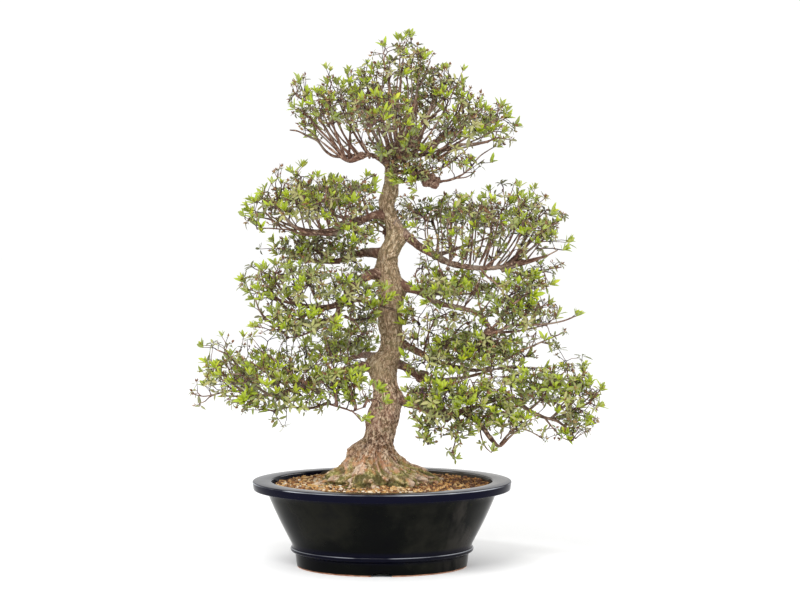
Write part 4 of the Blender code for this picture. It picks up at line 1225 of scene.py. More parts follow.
def add_whorl(leaves, tip, way, outward, is_new, bare_share, rng):
    """The leaves at a twig's end: a bright new flush, or older leaves that spread and droop."""
    is_bare = not is_new and rng.random() < bare_share
    up = np.array((0, 0, 1.0))
    axis = unit(0.55 * way + 0.3 * outward + (0.75 if is_new else 0.35) * up)
    across = unit(np.cross(axis, (0.3, 0.9, 0.2)))
    around = np.cross(axis, across)
    count = rng.choice((5, 5, 6, 7)) if is_new else rng.choice((3, 4, 4, 5))
    start = rng.uniform(0, 2 * math.pi)
    size = rng.uniform(0.8, 1.32) if is_new else rng.uniform(0.62, 1.08)
    if is_bare:
        count, size = rng.choice((1, 2, 3)), rng.uniform(0.4, 0.6)
    shade = min(1, rng.uniform(0, 1)**0.8)
    old = rng.uniform(0.02, 0.26) + 0.24 * greenness(tip) * rng.random()
    for index in range(count):
        angle = start + index * GOLDEN_ANGLE
        inner = index / count
        rise = math.radians((46 + 32 * inner if is_new else 4 + 40 * inner) + rng.uniform(-14, 14))
        flat = across * math.cos(angle) + around * math.sin(angle)
        out = unit(flat * math.cos(rise) + axis * math.sin(rise))
        face = unit(axis * math.cos(rise) - flat * math.sin(rise))
        length = rng.uniform(*LEAF_LENGTH) * size * (1 - 0.28 * inner)
        width = length * rng.uniform(*LEAF_WIDTH_SHARE)
        droop = rng.uniform(0.0, 0.12) if is_new else rng.uniform(0.10, 0.52)
        new = min(1, max(0, (0.78 if is_new else old) + rng.gauss(0, 0.08) + 0.12 * inner))
        root = tip + out * 0.5 * MM - axis * (1 - inner) * 1.6 * MM
        leaves.add(LEAF, root, out, face, length, width, rng.uniform(0.25, 0.5), droop, (new, shade, 0.0))
    if is_bare or rng.random() < BUD_SHARE:
        add_buds(leaves, tip, axis, across, around, rng)


def add_buds(leaves, tip, axis, across, around, rng):
    """Short brown bud scales and old seed cases among the leaves."""
    for _ in range(rng.choice((2, 3, 4))):
        angle = rng.uniform(0, 2 * math.pi)
        lean = rng.uniform(0.2, 0.9)
        flat = across * math.cos(angle) + around * math.sin(angle)
        out = unit(axis + flat * lean)
        face = unit(flat - out * flat.dot(out))
        length = rng.uniform(*BUD_LENGTH)
        leaves.add(BUD, tip, out, face, length, length * 0.34, 0.9, 0.1, (0.2, rng.random(), 1.0))


def mass_sites(mass, limb):
    """Where twigs leave a mass's wood: along the outer part of its limb and along its boughs."""
    sites = spaced_sites(limb_rows(limb, LIMB_SITE_STEP)[:, :3], SITE_STEP, 0.35)
    for name, *shape in ALL_BOUGHS:
        if name == mass:
            sites += spaced_sites(bough_rows(BOUGH_SITE_STEP, *shape)[:, :3], SITE_STEP, 0.25)
    return sites


def loose_tips(mass, rng):
    """The tips of a mass's fills and single tufts, each with whether its leaves are new."""
    tips = []
    for x, y, half_x, half_y, depth, half_depth, count in FILLS.get(mass, ()):
        for _ in range(count):
            spot = pixel_place(
                x + half_x * rng.uniform(-1, 1), y + half_y * rng.uniform(-1, 1),
                depth + half_depth * rng.uniform(-1, 1),
            )
            if not hides_trunk(spot):
                tips.append((np.array(spot), rng.random() < 0.6 * NEW_SHARE))
    for x, y, depth, is_new in TUFTS.get(mass, ()):
        spot = np.array(pixel_place(x, y, depth))
        for _ in range(TUFT_TIPS):
            tips.append((spot + np.array([rng.gauss(0, 1) * TUFT_SPREAD for _ in range(3)]), is_new))
    return tips


def grow_masses(twig_material, leaf_material):
    """The twigs and leaves of every mass, each of which takes the place of its solid sprays."""
    rng = random.Random(SEED)
    for mass, (limb, middle, half) in LEAF_MASSES.items():
        a, b, c = half
        centre = placed(*middle)
        is_upper = mass.startswith(("crown", "high"))
        count = WHORLS_PER_AREA * (a * b + b * c + c * a) * (UPPER_SHARE if is_upper else 1)
        tips = []
        for tip in mass_tips(centre, half, count, UPPER_LOWEST_TIP if is_upper else LOWEST_TIP, rng):
            if not hides_trunk(tip):
                tips.append((tip, rng.random() < NEW_SHARE * (0.8 + 0.5 * greenness(tip))))
        tips += loose_tips(mass, rng)
        twigs = Twigs(rng)
        twigs.grow(mass_sites(mass, limb), tips)
        leaves = Leaves()
        bare_share = CROWN_BARE_SHARE if mass.startswith("crown") else BARE_SHARE
        for tip, way, is_new in twigs.ends:
            add_whorl(leaves, tip, way, unit(tip - np.array(centre)), is_new, bare_share, rng)
        twig_wood("twigs_" + mass, twigs.runs, twig_material)
        made = leaves.build("leaves_" + mass, leaf_material)
        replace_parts(made, *[n for n in NODES if n.rpartition("_")[0] == "spray_" + mass])


def pot_profile():
    """The pot's outline from the middle of its underside, out and up the wall, and down the inside."""
    steps = []

    def corner(radius, height, rounding, start, end, pieces=5):
        for k in range(pieces + 1):
            angle = math.radians(start + (end - start) * k / pieces)
            steps.append((radius + rounding * math.cos(angle), height + rounding * math.sin(angle)))

    steps.append((0, FOOT_RECESS))
    steps.append((FOOT_INSIDE - EDGE, FOOT_RECESS))
    steps.append((FOOT_INSIDE, 0.4 * MM))
    steps.append((FOOT_INSIDE + 0.6 * MM, 0))
    corner(FOOT_RADIUS - 1.6 * MM, 1.6 * MM, 1.6 * MM, -90, 0, 4)
    steps.append((FOOT_RADIUS + 2.2 * MM, BEAD_BOTTOM - 3 * MM))
    corner(BEAD_RADIUS - BEAD_HEIGHT / 2, BEAD_BOTTOM + BEAD_HEIGHT / 2, BEAD_HEIGHT / 2, -80, 75, 8)
    steps.append((BEAD_RADIUS - 2.6 * MM, BEAD_BOTTOM + BEAD_HEIGHT + 2.2 * MM))
    wall_low = (BEAD_RADIUS - 1.6 * MM, BEAD_BOTTOM + BEAD_HEIGHT + 6 * MM)
    wall_high = (NECK_RADIUS, RIM_TOP - RIM_BAND - 2.5 * MM)
    for k in range(9):
        t = k / 8
        belly = 1.6 * MM * math.sin(math.pi * t)
        steps.append((
            wall_low[0] + (wall_high[0] - wall_low[0]) * t + belly,
            wall_low[1] + (wall_high[1] - wall_low[1]) * t,
        ))
    steps.append((NECK_RADIUS + 3 * MM, RIM_TOP - RIM_BAND))
    corner(RIM_RADIUS - 3.4 * MM, RIM_TOP - RIM_BAND + 2 * MM, 2 * MM, -90, -10)
    corner(RIM_RADIUS - 2.2 * MM, RIM_TOP - 2.2 * MM, 2.2 * MM, 0, 90)
    corner(MOUTH_RADIUS + 2.4 * MM, RIM_TOP - 2.4 * MM, 2.4 * MM, 90, 180)
    floor_radius = BEAD_RADIUS - POT_WALL
    steps.append((floor_radius + 3 * MM, FLOOR_TOP + 8 * MM))
    steps.append((floor_radius - 6 * MM, FLOOR_TOP))
    steps.append((0, FLOOR_TOP))
    return steps


def turned(name, profile, steps):
    """A closed turned shape, drawn in along Y to the pot's oval."""
    mesh = bpy.data.meshes.new(name)
    points = [(radius, 0, height) for radius, height in reversed(profile)]
    mesh.from_pydata(points, [(i, i + 1) for i in range(len(points) - 1)], [])
    obj = bpy.data.objects.new(name, mesh)
    bpy.context.scene.collection.objects.link(obj)
    screw = obj.modifiers.new("turn", "SCREW")
    screw.steps = screw.render_steps = steps
    screw.use_merge_vertices = True
    screw.merge_threshold = 0.05 * MM
    screw.use_normal_calculate = True
    obj.data = bpy.data.meshes.new_from_object(obj.evaluated_get(bpy.context.evaluated_depsgraph_get()))
    obj.modifiers.clear()
    obj.data.transform(Matrix.Translation(ORIGIN) @ Matrix.Diagonal((1, POT_DEPTH_SHARE, 1, 1)))
    return obj


def cut_away(obj, cutter):
    modifier = obj.modifiers.new("cut", "BOOLEAN")
    modifier.operation = "DIFFERENCE"
    modifier.object = cutter
    modifier.solver = "EXACT"
    obj.data = bpy.data.meshes.new_from_object(obj.evaluated_get(bpy.context.evaluated_depsgraph_get()))
    obj.modifiers.clear()
    bpy.data.objects.remove(cutter)


def make_pot(material):
    pot = turned("pot_glazed", pot_profile(), POT_STEPS)
    for turn in (0, math.pi / 2):
        bpy.ops.mesh.primitive_cylinder_add(vertices=48, radius=1, depth=1)
        notch = bpy.context.object
        notch.scale = (NOTCH_WIDTH / 2, NOTCH_HEIGHT, 500 * MM)
        notch.rotation_euler = (math.pi / 2, 0, turn)
        notch.location = ORIGIN
        cut_away(pot, notch)
    for side in (-1, 1):
        bpy.ops.mesh.primitive_cylinder_add(vertices=48, radius=DRAIN_RADIUS, depth=100 * MM)
        drain = bpy.context.object
        drain.location = ORIGIN + Vector((side * DRAIN_X, 0, 0))
        cut_away(pot, drain)
    smooth(pot.data, 40)
    pot.data.materials.clear()
    pot.data.materials.append(material)
    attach(pot, "root")
    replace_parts(pot, "pot")
    return pot


def inner_radius(height):
    floor_radius = BEAD_RADIUS - POT_WALL
    share = (height - FLOOR_TOP) / (RIM_TOP - FLOOR_TOP)
    return floor_radius + (MOUTH_RADIUS - floor_radius) * share


def soil_height(x, y):
    """The soil's top at a place measured from the pot's middle."""
    share = min(1, math.hypot(x, y / POT_DEPTH_SHARE) / inner_radius(SOIL_EDGE_TOP))
    lumps = noise.noise(Vector((x, y, 0)) / (26 * MM)) * 1.7 * MM
    return SOIL_EDGE_TOP + SOIL_MOUND * (1 - share**2) + lumps * (1 - share**4)


def make_soil(material):
    """The soil's body, in fine relief on top."""
    points = []
    edge = inner_radius(SOIL_EDGE_TOP) - 0.6 * MM

    def add_ring(reach, height_at):
        for step in range(SOIL_AROUND):
            angle = 2 * math.pi * step / SOIL_AROUND
            x, y = reach * math.cos(angle), reach * POT_DEPTH_SHARE * math.sin(angle)
            points.append(ORIGIN + Vector((x, y, height_at(x, y))))

    def gritty_height(x, y):
        return soil_height(x, y) + noise.noise(Vector((x, y, 7)) / SOIL_GRIT_SIZE) * SOIL_GRIT_DEPTH

    add_ring(inner_radius(FLOOR_TOP) - 9 * MM, lambda x, y: FLOOR_TOP + 1 * MM)
    add_ring(edge, lambda x, y: SOIL_EDGE_TOP)
    for ring in range(1, SOIL_RINGS):
        add_ring(edge * (1 - ring / SOIL_RINGS), gritty_height)
    obj = new_piece("soil_body", points, tube_faces(SOIL_RINGS + 1, SOIL_AROUND), material)
    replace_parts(obj, "soil")
    return obj


def root_reach(angle):
    """How far the root base reaches at the soil's level, in a direction from its middle."""
    x, y, z, radius, depth_share, lobe = TRUNK[1]
    return radius * MM * root_swell(angle, lobe)


def from_root(x, y):
    """How far outside the root base a place on the soil is. x and y are in the frame."""
    middle = placed(*TRUNK[1][:3])
    dx, dy = x - middle.x, (y - middle.y) / TRUNK[1][4]
    return math.hypot(dx, dy) - root_reach(math.atan2(dy, dx))


def solid_template(subdivisions=0):
    """A ball's points and faces, or those of a cube of about its size where it isn't subdivided."""
    work = bmesh.new()
    if subdivisions:
        bmesh.ops.create_icosphere(work, subdivisions=subdivisions, radius=1)
    else:
        bmesh.ops.create_cube(work, size=1.32)
    points = np.array([vert.co[:] for vert in work.verts])
    faces = [tuple(vert.index for vert in face.verts) for face in work.faces]
    work.free()
    return points, faces


def soil_spots(count, rng, margin):
    """Places on the soil between the pot's wall and the roots, in the frame."""
    edge = inner_radius(SOIL_EDGE_TOP) - margin
    spots = []
    while len(spots) < count:
        reach, angle = edge * math.sqrt(rng.random()), rng.uniform(0, 2 * math.pi)
        x, y = reach * math.cos(angle), reach * POT_DEPTH_SHARE * math.sin(angle)
        if from_root(x + ORIGIN.x, y + ORIGIN.y) > -4 * MM:
            spots.append((x, y))
    return spots


def make_grains(material):
    """The grit: small uneven stones in tan, straw, rust and brown."""
    rng = random.Random(SEED + 1)
    ball, ball_faces = solid_template()
    points, faces, tones = [], [], []
    for x, y in soil_spots(GRAIN_COUNT, rng, 3 * MM):
        size = rng.uniform(*GRAIN_SIZE)
        stretch = np.array((rng.uniform(0.8, 1.6), rng.uniform(0.6, 1.1), rng.uniform(0.4, 1.0))) * size
        uneven = np.array([[rng.uniform(0.7, 1.15)] for _ in ball])
        turn = Matrix.Rotation(rng.uniform(0, 6.3), 3, "Z") @ Matrix.Rotation(rng.uniform(-0.9, 0.9), 3, "X")
        shape = (ball * uneven * stretch) @ np.array(turn).T
        layer = rng.random()
        middle = np.array(ORIGIN) + (x, y, soil_height(x, y) + (0.1 + 0.9 * layer) * size)
        base = len(points) * len(ball)
        points.append(shape + middle)
        faces += shifted(ball_faces, base)
        dark_side = min(1, max(0, (x + 0.4 * y) / (110 * MM)))
        pick = rng.random()**(1 + 1.4 * dark_side) * (1 - 0.25 * dark_side)
        tones.append(np.tile((pick, rng.random(), layer), (len(ball), 1)))
    colours = [("grain", np.vstack(tones))]
    return new_piece("soil_grains", np.vstack(points), faces, material, colours, 0)


def make_moss(material):
    """Moss in tufts of short blades round the roots and on the soil beside them."""
    rng = random.Random(SEED + 2)
    points, faces, tones = [], [], []
    spots = soil_spots(6 * MOSS_COUNT, rng, 10 * MM)
    kept = 0
    for x, y in spots:
        away = from_root(x + ORIGIN.x, y + ORIGIN.y)
        patch = noise.noise(Vector((x, y, 3)) / MOSS_PATCH) + 0.35 * (x < -20 * MM) - away / MOSS_FADE
        if patch < 0.05 or kept >= MOSS_COUNT:
            continue
        kept += 1
        tall = rng.uniform(*MOSS_HEIGHT)
        middle = np.array(ORIGIN) + (x, y, soil_height(x, y) + 0.4 * MM)
        lean = np.array((rng.gauss(0, 0.5), rng.gauss(0, 0.5), 1.0)) * tall
        turn = rng.uniform(0, 2 * math.pi)
        base = len(points)
        for k in range(3):
            angle = turn + 2 * math.pi * k / 3
            points.append(middle + np.array((math.cos(angle), math.sin(angle), 0)) * MOSS_RADIUS)
            tones.append((0.0, rng.random(), 0.0))
        points.append(middle + lean)
        tones.append((1.0, rng.random(), 0.0))
        for k in range(3):
            faces.append((base + k, base + (k + 1) % 3, base + 3))
        faces.append((base + 2, base + 1, base))
    return new_piece("moss", points, faces, material, [("grain", np.array(tones))], 0)


# Knots on the wood: the middle and the half size of each, in millimetres.
KNOTS = (
    ((76, -28, 622), (13, 11, 11)),
    ((62, -25, 629), (10, 9, 9)),
    ((50, -20, 635), (8, 8, 8)),
    ((84, -34, 614), (8, 8, 7)),
    ((70, -37, 616), (6, 5, 6)),
    ((88, -26, 621), (6, 6, 6)),
    ((68, -32, 634), (6, 5, 5)),
    ((80, -37, 627), (5, 5, 5)),
    ((58, -34, 624), (5, 5, 5)),
    ((70, -36, 262), (9, 8, 8)),
    ((92, -40, 254), (9, 8, 9)),
    ((104, -44, 240), (8, 7, 8)),
    ((118, -46, 246), (8, 7, 9)),
    ((-32, -30, 660), (7, 6, 6)),
    ((8, -12, 652), (7, 7, 8)),
    ((30, -4, 664), (7, 7, 9)),
    ((20, -12, 642), (7, 7, 8)),
    ((36, -16, 654), (6, 6, 6)),
    ((0, -18, 658), (5, 5, 6)),
    ((172, -26, 376), (8, 7, 9)),
    ((77, -26, 252), (11, 9, 9)),
    ((82, -30, 243), (6.5, 6, 8)),
    ((-59, -22, 549), (11, 9, 8)),
    ((-121, -44, 290), (9, 8, 8)),
    ((64, 62, 306), (12, 11, 10)),
    ((-228, -34, 266), (6, 6, 6)),
    ((137, -46, 250), (9, 8, 8)),
    ((26, -6, 268), (9, 9, 11)),
)


def make_knots(material):
    """Gnarled knots where old shoots were cut off the limbs."""
    ball, ball_faces = solid_template(KNOT_FINENESS)
    points, faces, tones = [], [], []
    for number, (middle, half) in enumerate(KNOTS):
        centre = placed(*middle)
        base = len(points)
        for unit_point in ball:
            way = Vector(unit_point)
            crack = min(1, max(0, 0.5 + 1.1 * noise.noise(way * 4.2 + Vector((number * 5.0, 0, 0)))))
            fine = noise.noise(way * 9 + Vector((0, 0, number * 3.0)))
            swell = 0.84 + 0.20 * crack + 0.08 * fine + 0.30 * noise.noise(way * 1.6 + Vector((0, number, 0)))
            points.append(centre + Vector([way[k] * half[k] * MM * swell for k in range(3)]))
            tones.append((0.85 * crack, 0.3, 0.2))
        faces += shifted(ball_faces, base)
    return new_piece("limb_knots", points, faces, material, [("bark", np.array(tones))])


BLACK, WHITE = (0, 0, 0), (1, 1, 1)


class Shader:
    """A material's node tree, with its Principled shader, and short ways to add to it."""

    def __init__(self, name):
        self.material = bpy.data.materials.new(name)
        self.material.use_nodes = True
        self.tree = self.material.node_tree
        self.surface = self.tree.nodes["Principled BSDF"]

    def node(self, kind, **settings):
        made = self.tree.nodes.new("ShaderNode" + kind)
        for key, value in settings.items():
            setattr(made, key, value)
        return made

    def link(self, output, target):
        self.tree.links.new(output, target)

    def attribute(self, name):
        made = self.node("Attribute", attribute_type="GEOMETRY", attribute_name=name)
        parts = self.node("SeparateColor")
        self.link(made.outputs["Color"], parts.inputs[0])
        return parts.outputs

    def place(self):
        return self.node("TexCoord").outputs["Object"]

    def axis(self, letter):
        parts = self.node("SeparateXYZ")
        self.link(self.place(), parts.inputs[0])
        return parts.outputs[letter]

    def height(self, low, high):
        """0 at one height of the object and 1 at another."""
        made = self.node("MapRange")
        made.inputs["From Min"].default_value = low
        made.inputs["From Max"].default_value = high
        self.link(self.axis("Z"), made.inputs["Value"])
        return made.outputs[0]

    def noise(self, scale, detail=3, stretch=(1, 1, 1), rough=0.55):
        mapping = self.node("Mapping")
        mapping.inputs["Scale"].default_value = stretch
        self.link(self.place(), mapping.inputs["Vector"])
        made = self.node("TexNoise")
        made.inputs["Scale"].default_value = scale
        made.inputs["Detail"].default_value = detail
        made.inputs["Roughness"].default_value = rough
        self.link(mapping.outputs[0], made.inputs["Vector"])
        return made.outputs["Fac"]

    def math(self, operation, first, second=0.5, clamp=True):
        made = self.node("Math", operation=operation, use_clamp=clamp)
        for socket, value in zip(made.inputs, (first, second)):
            if isinstance(value, (int, float)):
                socket.default_value = value
            else:
                self.link(value, socket)
        return made.outputs[0]

    def product(self, *values):
        out = values[0]
        for value in values[1:]:
            out = self.math("MULTIPLY", out, value)
        return out

    def ramp(self, factor, stops):
        made = self.node("ValToRGB")
        line = made.color_ramp
        while len(line.elements) < len(stops):
            line.elements.new(0.5)
        for element, (place, colour) in zip(line.elements, stops):
            element.position = place
            element.color = (*colour, 1)
        self.link(factor, made.inputs[0])
        return made.outputs[0]

    def rise(self, factor, low, high):
        """Black below one value and white above another."""
        return self.ramp(factor, ((low, BLACK), (high, WHITE)))

    def fall(self, factor, low, high):
        """White below one value and black above another."""
        return self.ramp(factor, ((low, WHITE), (high, BLACK)))

    def band(self, factor, low, full, end, high):
        """White between two values, and black some way outside them."""
        return self.ramp(factor, ((low, BLACK), (full, WHITE), (end, WHITE), (high, BLACK)))

    def lay(self, under, over, *masks):
        """One colour laid over another, as far as all the masks together say."""
        return self.mix(self.product(*masks), under, over)

    def mix(self, factor, first, second):
        made = self.node("Mix", data_type="RGBA")
        for socket, value in ((made.inputs[0], factor), (made.inputs[6], first), (made.inputs[7], second)):
            if isinstance(value, tuple):
                socket.default_value = (*value, 1)
            elif isinstance(value, (int, float)):
                socket.default_value = value
            else:
                self.link(value, socket)
        return made.outputs[2]

    def bump(self, height, strength, distance):
        made = self.node("Bump")
        made.inputs["Strength"].default_value = strength
        made.inputs["Distance"].default_value = distance
        self.link(height, made.inputs["Height"])
        self.link(made.outputs[0], self.surface.inputs["Normal"])

    def finish(self, colour, roughness, **constants):
        self.link(colour, self.surface.inputs["Base Color"])
        if isinstance(roughness, (int, float)):
            self.surface.inputs["Roughness"].default_value = roughness
        else:
            self.link(roughness, self.surface.inputs["Roughness"])
        for label, value in constants.items():
            self.surface.inputs[label.replace("_", " ")].default_value = value
        return self.material


def bark_material():
    """Flaking brown bark: greener and darker up the trunk, partly a tint of algae and partly painted shade
    from the foliage, and rust, moss, pale ridges and painted shade in the crevices on the root base.
    """
    shader = Shader("bark")
    groove, _, lump = shader.attribute("bark")[:3]
    flakes = shader.noise(360, 6, (1, 1, 0.65), 0.74)
    specks = shader.noise(210, 4, (1, 1, 0.6), 0.62)
    wood = shader.ramp(shader.math("ADD", shader.product(groove, 0.30), shader.product(flakes, 0.78)), (
        (0.38, (0.080, 0.042, 0.026)),
        (0.46, (0.320, 0.185, 0.115)),
        (0.55, (0.590, 0.400, 0.265)),
        (0.66, (0.900, 0.730, 0.560)),
    ))
    wood = shader.lay(wood, (0.070, 0.036, 0.022), shader.fall(specks, 0.41, 0.47), 0.85)
    wood = shader.lay(wood, (0.82, 0.66, 0.50), shader.rise(specks, 0.54, 0.60), 0.6)
    patches = shader.rise(shader.noise(46, 4, (1, 1, 0.5)), 0.46, 0.62)
    wood = shader.lay(wood, (0.50, 0.29, 0.21), patches, 0.3)
    wood = shader.lay(wood, (0.36, 0.32, 0.16), shader.rise(shader.noise(30, 3), 0.50, 0.66), 0.28)
    # Greener and darker from 250 mm up the trunk: partly a tint of algae on the bark, partly painted shade
    # from the foliage above.
    olive_and_shade = shader.mix(flakes, (0.10, 0.07, 0.035), (0.42, 0.36, 0.19))
    wood = shader.lay(wood, olive_and_shade, shader.height(250 * MM, 340 * MM), 0.42)
    rust = shader.rise(shader.noise(120, 4), 0.50, 0.57)
    wood = shader.lay(wood, (0.56, 0.24, 0.10), shader.height(205 * MM, 170 * MM), rust, 0.6)
    stain = shader.rise(shader.noise(70, 5), 0.40, 0.56)
    damp = shader.math("ADD", 0.35, shader.product(stain, 0.6))
    moss = shader.ramp(flakes, (
        (0.36, (0.085, 0.100, 0.018)),
        (0.52, (0.340, 0.330, 0.090)),
        (0.66, (0.620, 0.580, 0.260)),
    ))
    dips = shader.fall(lump, 0.34, 0.56)
    wood = shader.lay(wood, moss, shader.height(184 * MM, 160 * MM), dips, damp, 0.85)
    foot = shader.height(176 * MM, 152 * MM)
    pale = shader.mix(flakes, (0.44, 0.30, 0.20), (0.88, 0.78, 0.62))
    wood = shader.lay(wood, pale, foot, shader.rise(lump, 0.50, 0.74), 0.75)
    # Painted shade: the crevices between the roots and their toes are darkened.
    wood = shader.lay(wood, (0.045, 0.035, 0.014), foot, shader.fall(lump, 0.20, 0.36), 0.7)
    shader.bump(flakes, 1.0, 1.4 * MM)
    return shader.finish(wood, 0.9, Specular_IOR_Level=0.2)


def limb_material():
    """Darker, redder bark with grey patches, on the limbs and boughs."""
    shader = Shader("limb_bark")
    groove = shader.attribute("bark")[0]
    flakes = shader.noise(460, 4, (1, 1, 1), 0.65)
    wood = shader.ramp(shader.math("ADD", shader.product(groove, 0.4), shader.product(flakes, 0.62)), (
        (0.28, (0.034, 0.019, 0.014)),
        (0.48, (0.150, 0.084, 0.058)),
        (0.68, (0.500, 0.360, 0.260)),
    ))
    red = shader.mix(flakes, (0.100, 0.042, 0.032), (0.300, 0.155, 0.105))
    wood = shader.lay(wood, red, shader.rise(shader.noise(34, 4), 0.40, 0.60), 0.5)
    grey = shader.mix(flakes, (0.16, 0.12, 0.09), (0.52, 0.44, 0.34))
    wood = shader.lay(wood, grey, shader.rise(shader.noise(22, 3), 0.50, 0.62), 0.5)
    shader.bump(flakes, 0.7, 0.8 * MM)
    return shader.finish(wood, 0.85, Specular_IOR_Level=0.25)


def twig_material():
    shader = Shader("twig_bark")
    wood = shader.ramp(shader.noise(70, 4), (
        (0.36, (0.036, 0.020, 0.022)),
        (0.48, (0.082, 0.045, 0.042)),
        (0.57, (0.210, 0.112, 0.084)),
        (0.68, (0.370, 0.260, 0.200)),
    ))
    shader.bump(shader.noise(700, 3), 0.5, 0.4 * MM)
    return shader.finish(wood, 0.8, Specular_IOR_Level=0.25)


def leaf_material():
    """Olive old leaves to yellow-green new ones, with a pale rib and underside, and brown bud scales."""
    shader = Shader("leaf")
    new, shade, bud = shader.attribute("tint")[:3]
    _, across, top = shader.attribute("blade")[:3]
    blade = shader.ramp(new, (
        (0.05, (0.110, 0.114, 0.070)),
        (0.22, (0.200, 0.218, 0.092)),
        (0.42, (0.215, 0.295, 0.058)),
        (0.62, (0.280, 0.375, 0.010)),
        (0.82, (0.370, 0.490, 0.004)),
        (1.00, (0.540, 0.590, 0.010)),
    ))
    other = shader.ramp(shade, (
        (0.0, (0.055, 0.068, 0.036)),
        (0.5, (0.280, 0.280, 0.100)),
        (1.0, (0.560, 0.470, 0.190)),
    ))
    share = shader.math("ADD", 0.15, shader.product(shader.fall(new, 0.3, 0.7), 0.35))
    blade = shader.mix(share, blade, other)
    off_rib = shader.math("ABSOLUTE", shader.math("SUBTRACT", across, 0.5, clamp=False))
    blade = shader.lay(blade, (0.56, 0.58, 0.22), shader.fall(off_rib, 0.0, 0.09), 0.3)
    blade = shader.lay(blade, (0.13, 0.15, 0.04), shader.noise(420, 2), 0.25)
    under = shader.mix(0.45, blade, (0.40, 0.41, 0.29))
    blade = shader.mix(shader.math("LESS_THAN", top, 0.3), blade, under)
    brown = shader.ramp(shade, (
        (0.0, (0.120, 0.045, 0.028)),
        (0.6, (0.270, 0.130, 0.060)),
        (1.0, (0.420, 0.300, 0.130)),
    ))
    return shader.finish(shader.mix(bud, blade, brown), 0.45, Specular_IOR_Level=0.25)


def glaze_material():
    """A near-black navy glaze with a painted brownish reflection on its right side and painted highlight
    lines along the rim's top corner and the bead, over a foot of bare brown clay.
    """
    shader = Shader("glaze")
    glaze = shader.ramp(shader.noise(11, 5), (
        (0.38, (0.0004, 0.0005, 0.0009)),
        (0.50, (0.0014, 0.0018, 0.0013)),
        (0.62, (0.0085, 0.0085, 0.0060)),
        (0.74, (0.0016, 0.0018, 0.0030)),
    ))
    # Painted reflection: pale brownish-grey marks on the right side of the body, in place of reflections in
    # the glaze.
    painted_reflection_streaks = shader.rise(shader.noise(26, 3, (1, 1, 0.3)), 0.48, 0.60)
    right = shader.rise(shader.product(shader.axis("X"), 5.0), 0.25, 0.55)
    glaze = shader.lay(glaze, (0.034, 0.030, 0.026), painted_reflection_streaks, right, 0.65)
    rim = shader.height(117 * MM, 124 * MM)
    glaze = shader.mix(rim, glaze, (0.0012, 0.0014, 0.0090))
    bead = shader.band(shader.height(14 * MM, 40 * MM), 0.10, 0.4, 0.8, 1.0)
    glaze = shader.lay(glaze, (0.0014, 0.0016, 0.0090), bead, 0.7)
    squares = []
    for letter in ("X", "Y"):
        size = shader.math("ABSOLUTE", shader.axis(letter), clamp=False)
        squares.append(shader.math("POWER", size, 2.0, clamp=False))
    deep = shader.math("DIVIDE", squares[1], POT_DEPTH_SHARE**2, clamp=False)
    away = shader.math("ADD", squares[0], deep, clamp=False)
    inside = shader.math("LESS_THAN", away, (MOUTH_RADIUS + 0.6 * MM)**2)
    glaze = shader.lay(glaze, (0.070, 0.062, 0.048), rim, inside, 0.9)
    # Painted highlights: patchy pale lines along the rim's outer top corner and the top of the bead, in place
    # of the lights' glints there.
    lip_highlight = shader.band(shader.height(130 * MM, 140 * MM), 0.55, 0.61, 0.68, 0.74)
    ridge = shader.band(shader.height(24 * MM, 34 * MM), 0.54, 0.59, 0.63, 0.70)
    painted_edge_highlights = shader.math("ADD", lip_highlight, shader.product(ridge, 0.8))
    highlight_breaks = shader.ramp(shader.noise(13, 2), ((0.40, (0.06, 0.06, 0.06)), (0.62, WHITE)))
    glaze = shader.lay(glaze, (0.44, 0.46, 0.50), painted_edge_highlights, highlight_breaks, 0.8)
    waves = shader.math("MULTIPLY", shader.noise(40, 3), 0.14, clamp=False)
    wave = shader.math("ADD", shader.height(-4 * MM, 8 * MM), waves, clamp=False)
    bare = shader.fall(wave, 0.52, 0.58)
    clay = shader.ramp(shader.noise(160, 4), ((0.35, (0.27, 0.12, 0.065)), (0.65, (0.52, 0.30, 0.20))))
    rough = shader.math("ADD", shader.product(bare, 0.7), 0.07)
    shader.bump(shader.noise(24, 2), 0.12, 1.6 * MM)
    return shader.finish(shader.mix(bare, glaze, clay), rough, IOR=1.45, Specular_IOR_Level=0.07)


def soil_material():
    shader = Shader("soil")
    colour = shader.ramp(shader.noise(180, 4), ((0.35, (0.035, 0.018, 0.009)), (0.65, (0.20, 0.10, 0.045))))
    shader.bump(shader.noise(300, 4), 0.8, 1.5 * MM)
    return shader.finish(colour, 0.95)


def grain_material():
    """Stones from dark brown through rust and straw to near white, dusty, and darker with painted shade where
    they lie deep among the others.
    """
    shader = Shader("grit")
    pick, _, layer = shader.attribute("grain")[:3]
    colour = shader.ramp(pick, (
        (0.00, (0.045, 0.020, 0.010)),
        (0.18, (0.180, 0.070, 0.030)),
        (0.34, (0.460, 0.210, 0.065)),
        (0.54, (0.660, 0.370, 0.115)),
        (0.78, (0.780, 0.560, 0.270)),
        (1.00, (0.920, 0.860, 0.720)),
    ))
    dust = shader.noise(520, 3)
    colour = shader.lay(colour, (0.40, 0.20, 0.08), dust, 0.3)
    # Painted shade: grains that lie deep among the others are darkened.
    colour = shader.lay(colour, (0.10, 0.045, 0.02), shader.math("SUBTRACT", 1.0, layer), 0.45)
    shader.bump(dust, 0.7, 0.8 * MM)
    return shader.finish(colour, 0.92)


def moss_material():
    shader = Shader("moss")
    along, shade, _ = shader.attribute("grain")[:3]
    blade = shader.ramp(shade, (
        (0.0, (0.06, 0.09, 0.012)),
        (0.6, (0.20, 0.25, 0.030)),
        (1.0, (0.46, 0.46, 0.100)),
    ))
    return shader.finish(shader.mix(along, (0.020, 0.030, 0.008), blade), 0.9)


def screen_material():
    shader = Shader("screen")
    colour = shader.ramp(shader.noise(200, 2), ((0.3, (0.02, 0.02, 0.02)), (0.7, (0.05, 0.05, 0.05))))
    return shader.finish(colour, 0.6)


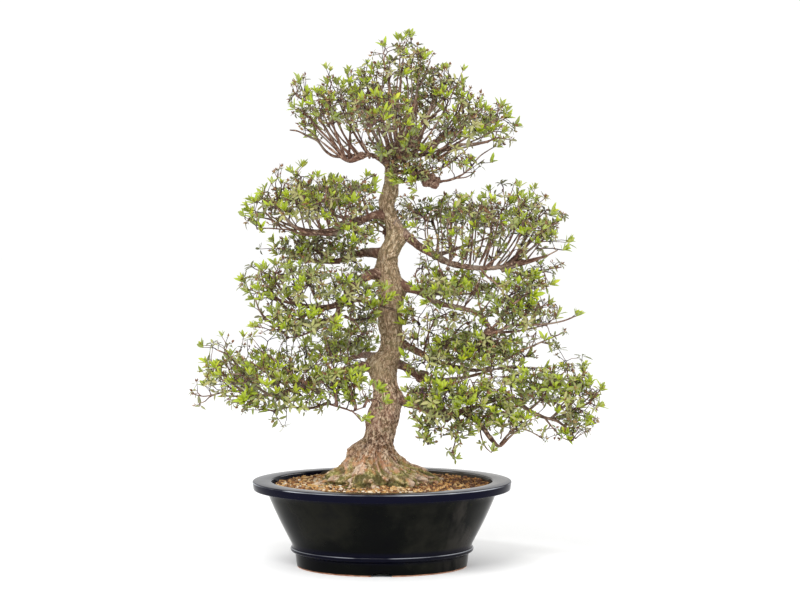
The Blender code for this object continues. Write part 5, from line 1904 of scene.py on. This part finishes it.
def make_stage():
    """A wide pale floor, a white surround, and a strip light on either side of the camera."""
    bpy.ops.mesh.primitive_circle_add(
        vertices=96, radius=FLOOR_RADIUS, fill_type="NGON", location=(0, 0, -0.3 * MM)
    )
    floor = bpy.context.object
    floor.name = "floor"
    shader = Shader("floor")
    pale = shader.ramp(shader.noise(2, 2), ((0.3, (0.96, 0.96, 0.96)), (0.7, (0.97, 0.97, 0.97))))
    floor.data.materials.append(shader.finish(pale, 0.9))
    world = bpy.context.scene.world or bpy.data.worlds.new("surround")
    bpy.context.scene.world = world
    world.use_nodes = True
    back = world.node_tree.nodes["Background"]
    back.inputs["Color"].default_value = (1.0, 1.0, 1.0, 1)
    back.inputs["Strength"].default_value = SURROUND_STRENGTH
    for place, length, power in STRIP_LIGHTS:
        light = bpy.data.lights.new("strip", "AREA")
        light.shape = "RECTANGLE"
        light.size = length
        light.size_y = STRIP_WIDTH
        light.energy = power
        lamp = bpy.data.objects.new("softbox", light)
        lamp.location = place
        lamp.rotation_euler = (Vector(STRIP_AIM) - Vector(place)).to_track_quat("-Z", "Y").to_euler()
        bpy.context.scene.collection.objects.link(lamp)


def make_camera():
    data = bpy.data.cameras.new("front_view")
    data.lens = LENS_MM
    camera = bpy.data.objects.new("front_view", data)
    camera.location = ORIGIN + Vector((EYE_X, -EYE_DISTANCE, EYE_HEIGHT))
    aim = ORIGIN + Vector((EYE_X, 0, AIM_HEIGHT))
    camera.rotation_euler = (aim - camera.location).to_track_quat("-Z", "Y").to_euler()
    bpy.context.scene.collection.objects.link(camera)
    bpy.context.scene.camera = camera


def main():
    bpy.context.scene.view_settings.view_transform = "Standard"
    make_camera()
    make_stage()
    bark, limb_bark = bark_material(), limb_material()
    trunk = trunk_wood(bark)
    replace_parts(trunk, "trunk")
    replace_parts(limb_wood(limb_bark), "trunk")
    bough_wood(limb_bark)
    make_knots(limb_bark)
    grow_masses(twig_material(), leaf_material())
    make_pot(glaze_material())
    make_soil(soil_material())
    make_grains(grain_material())
    make_moss(moss_material())
    screen = screen_material()
    for side in ("left", "right"):
        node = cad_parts["drain_screen_" + side]
        node.material_slots[0].material = screen


main()
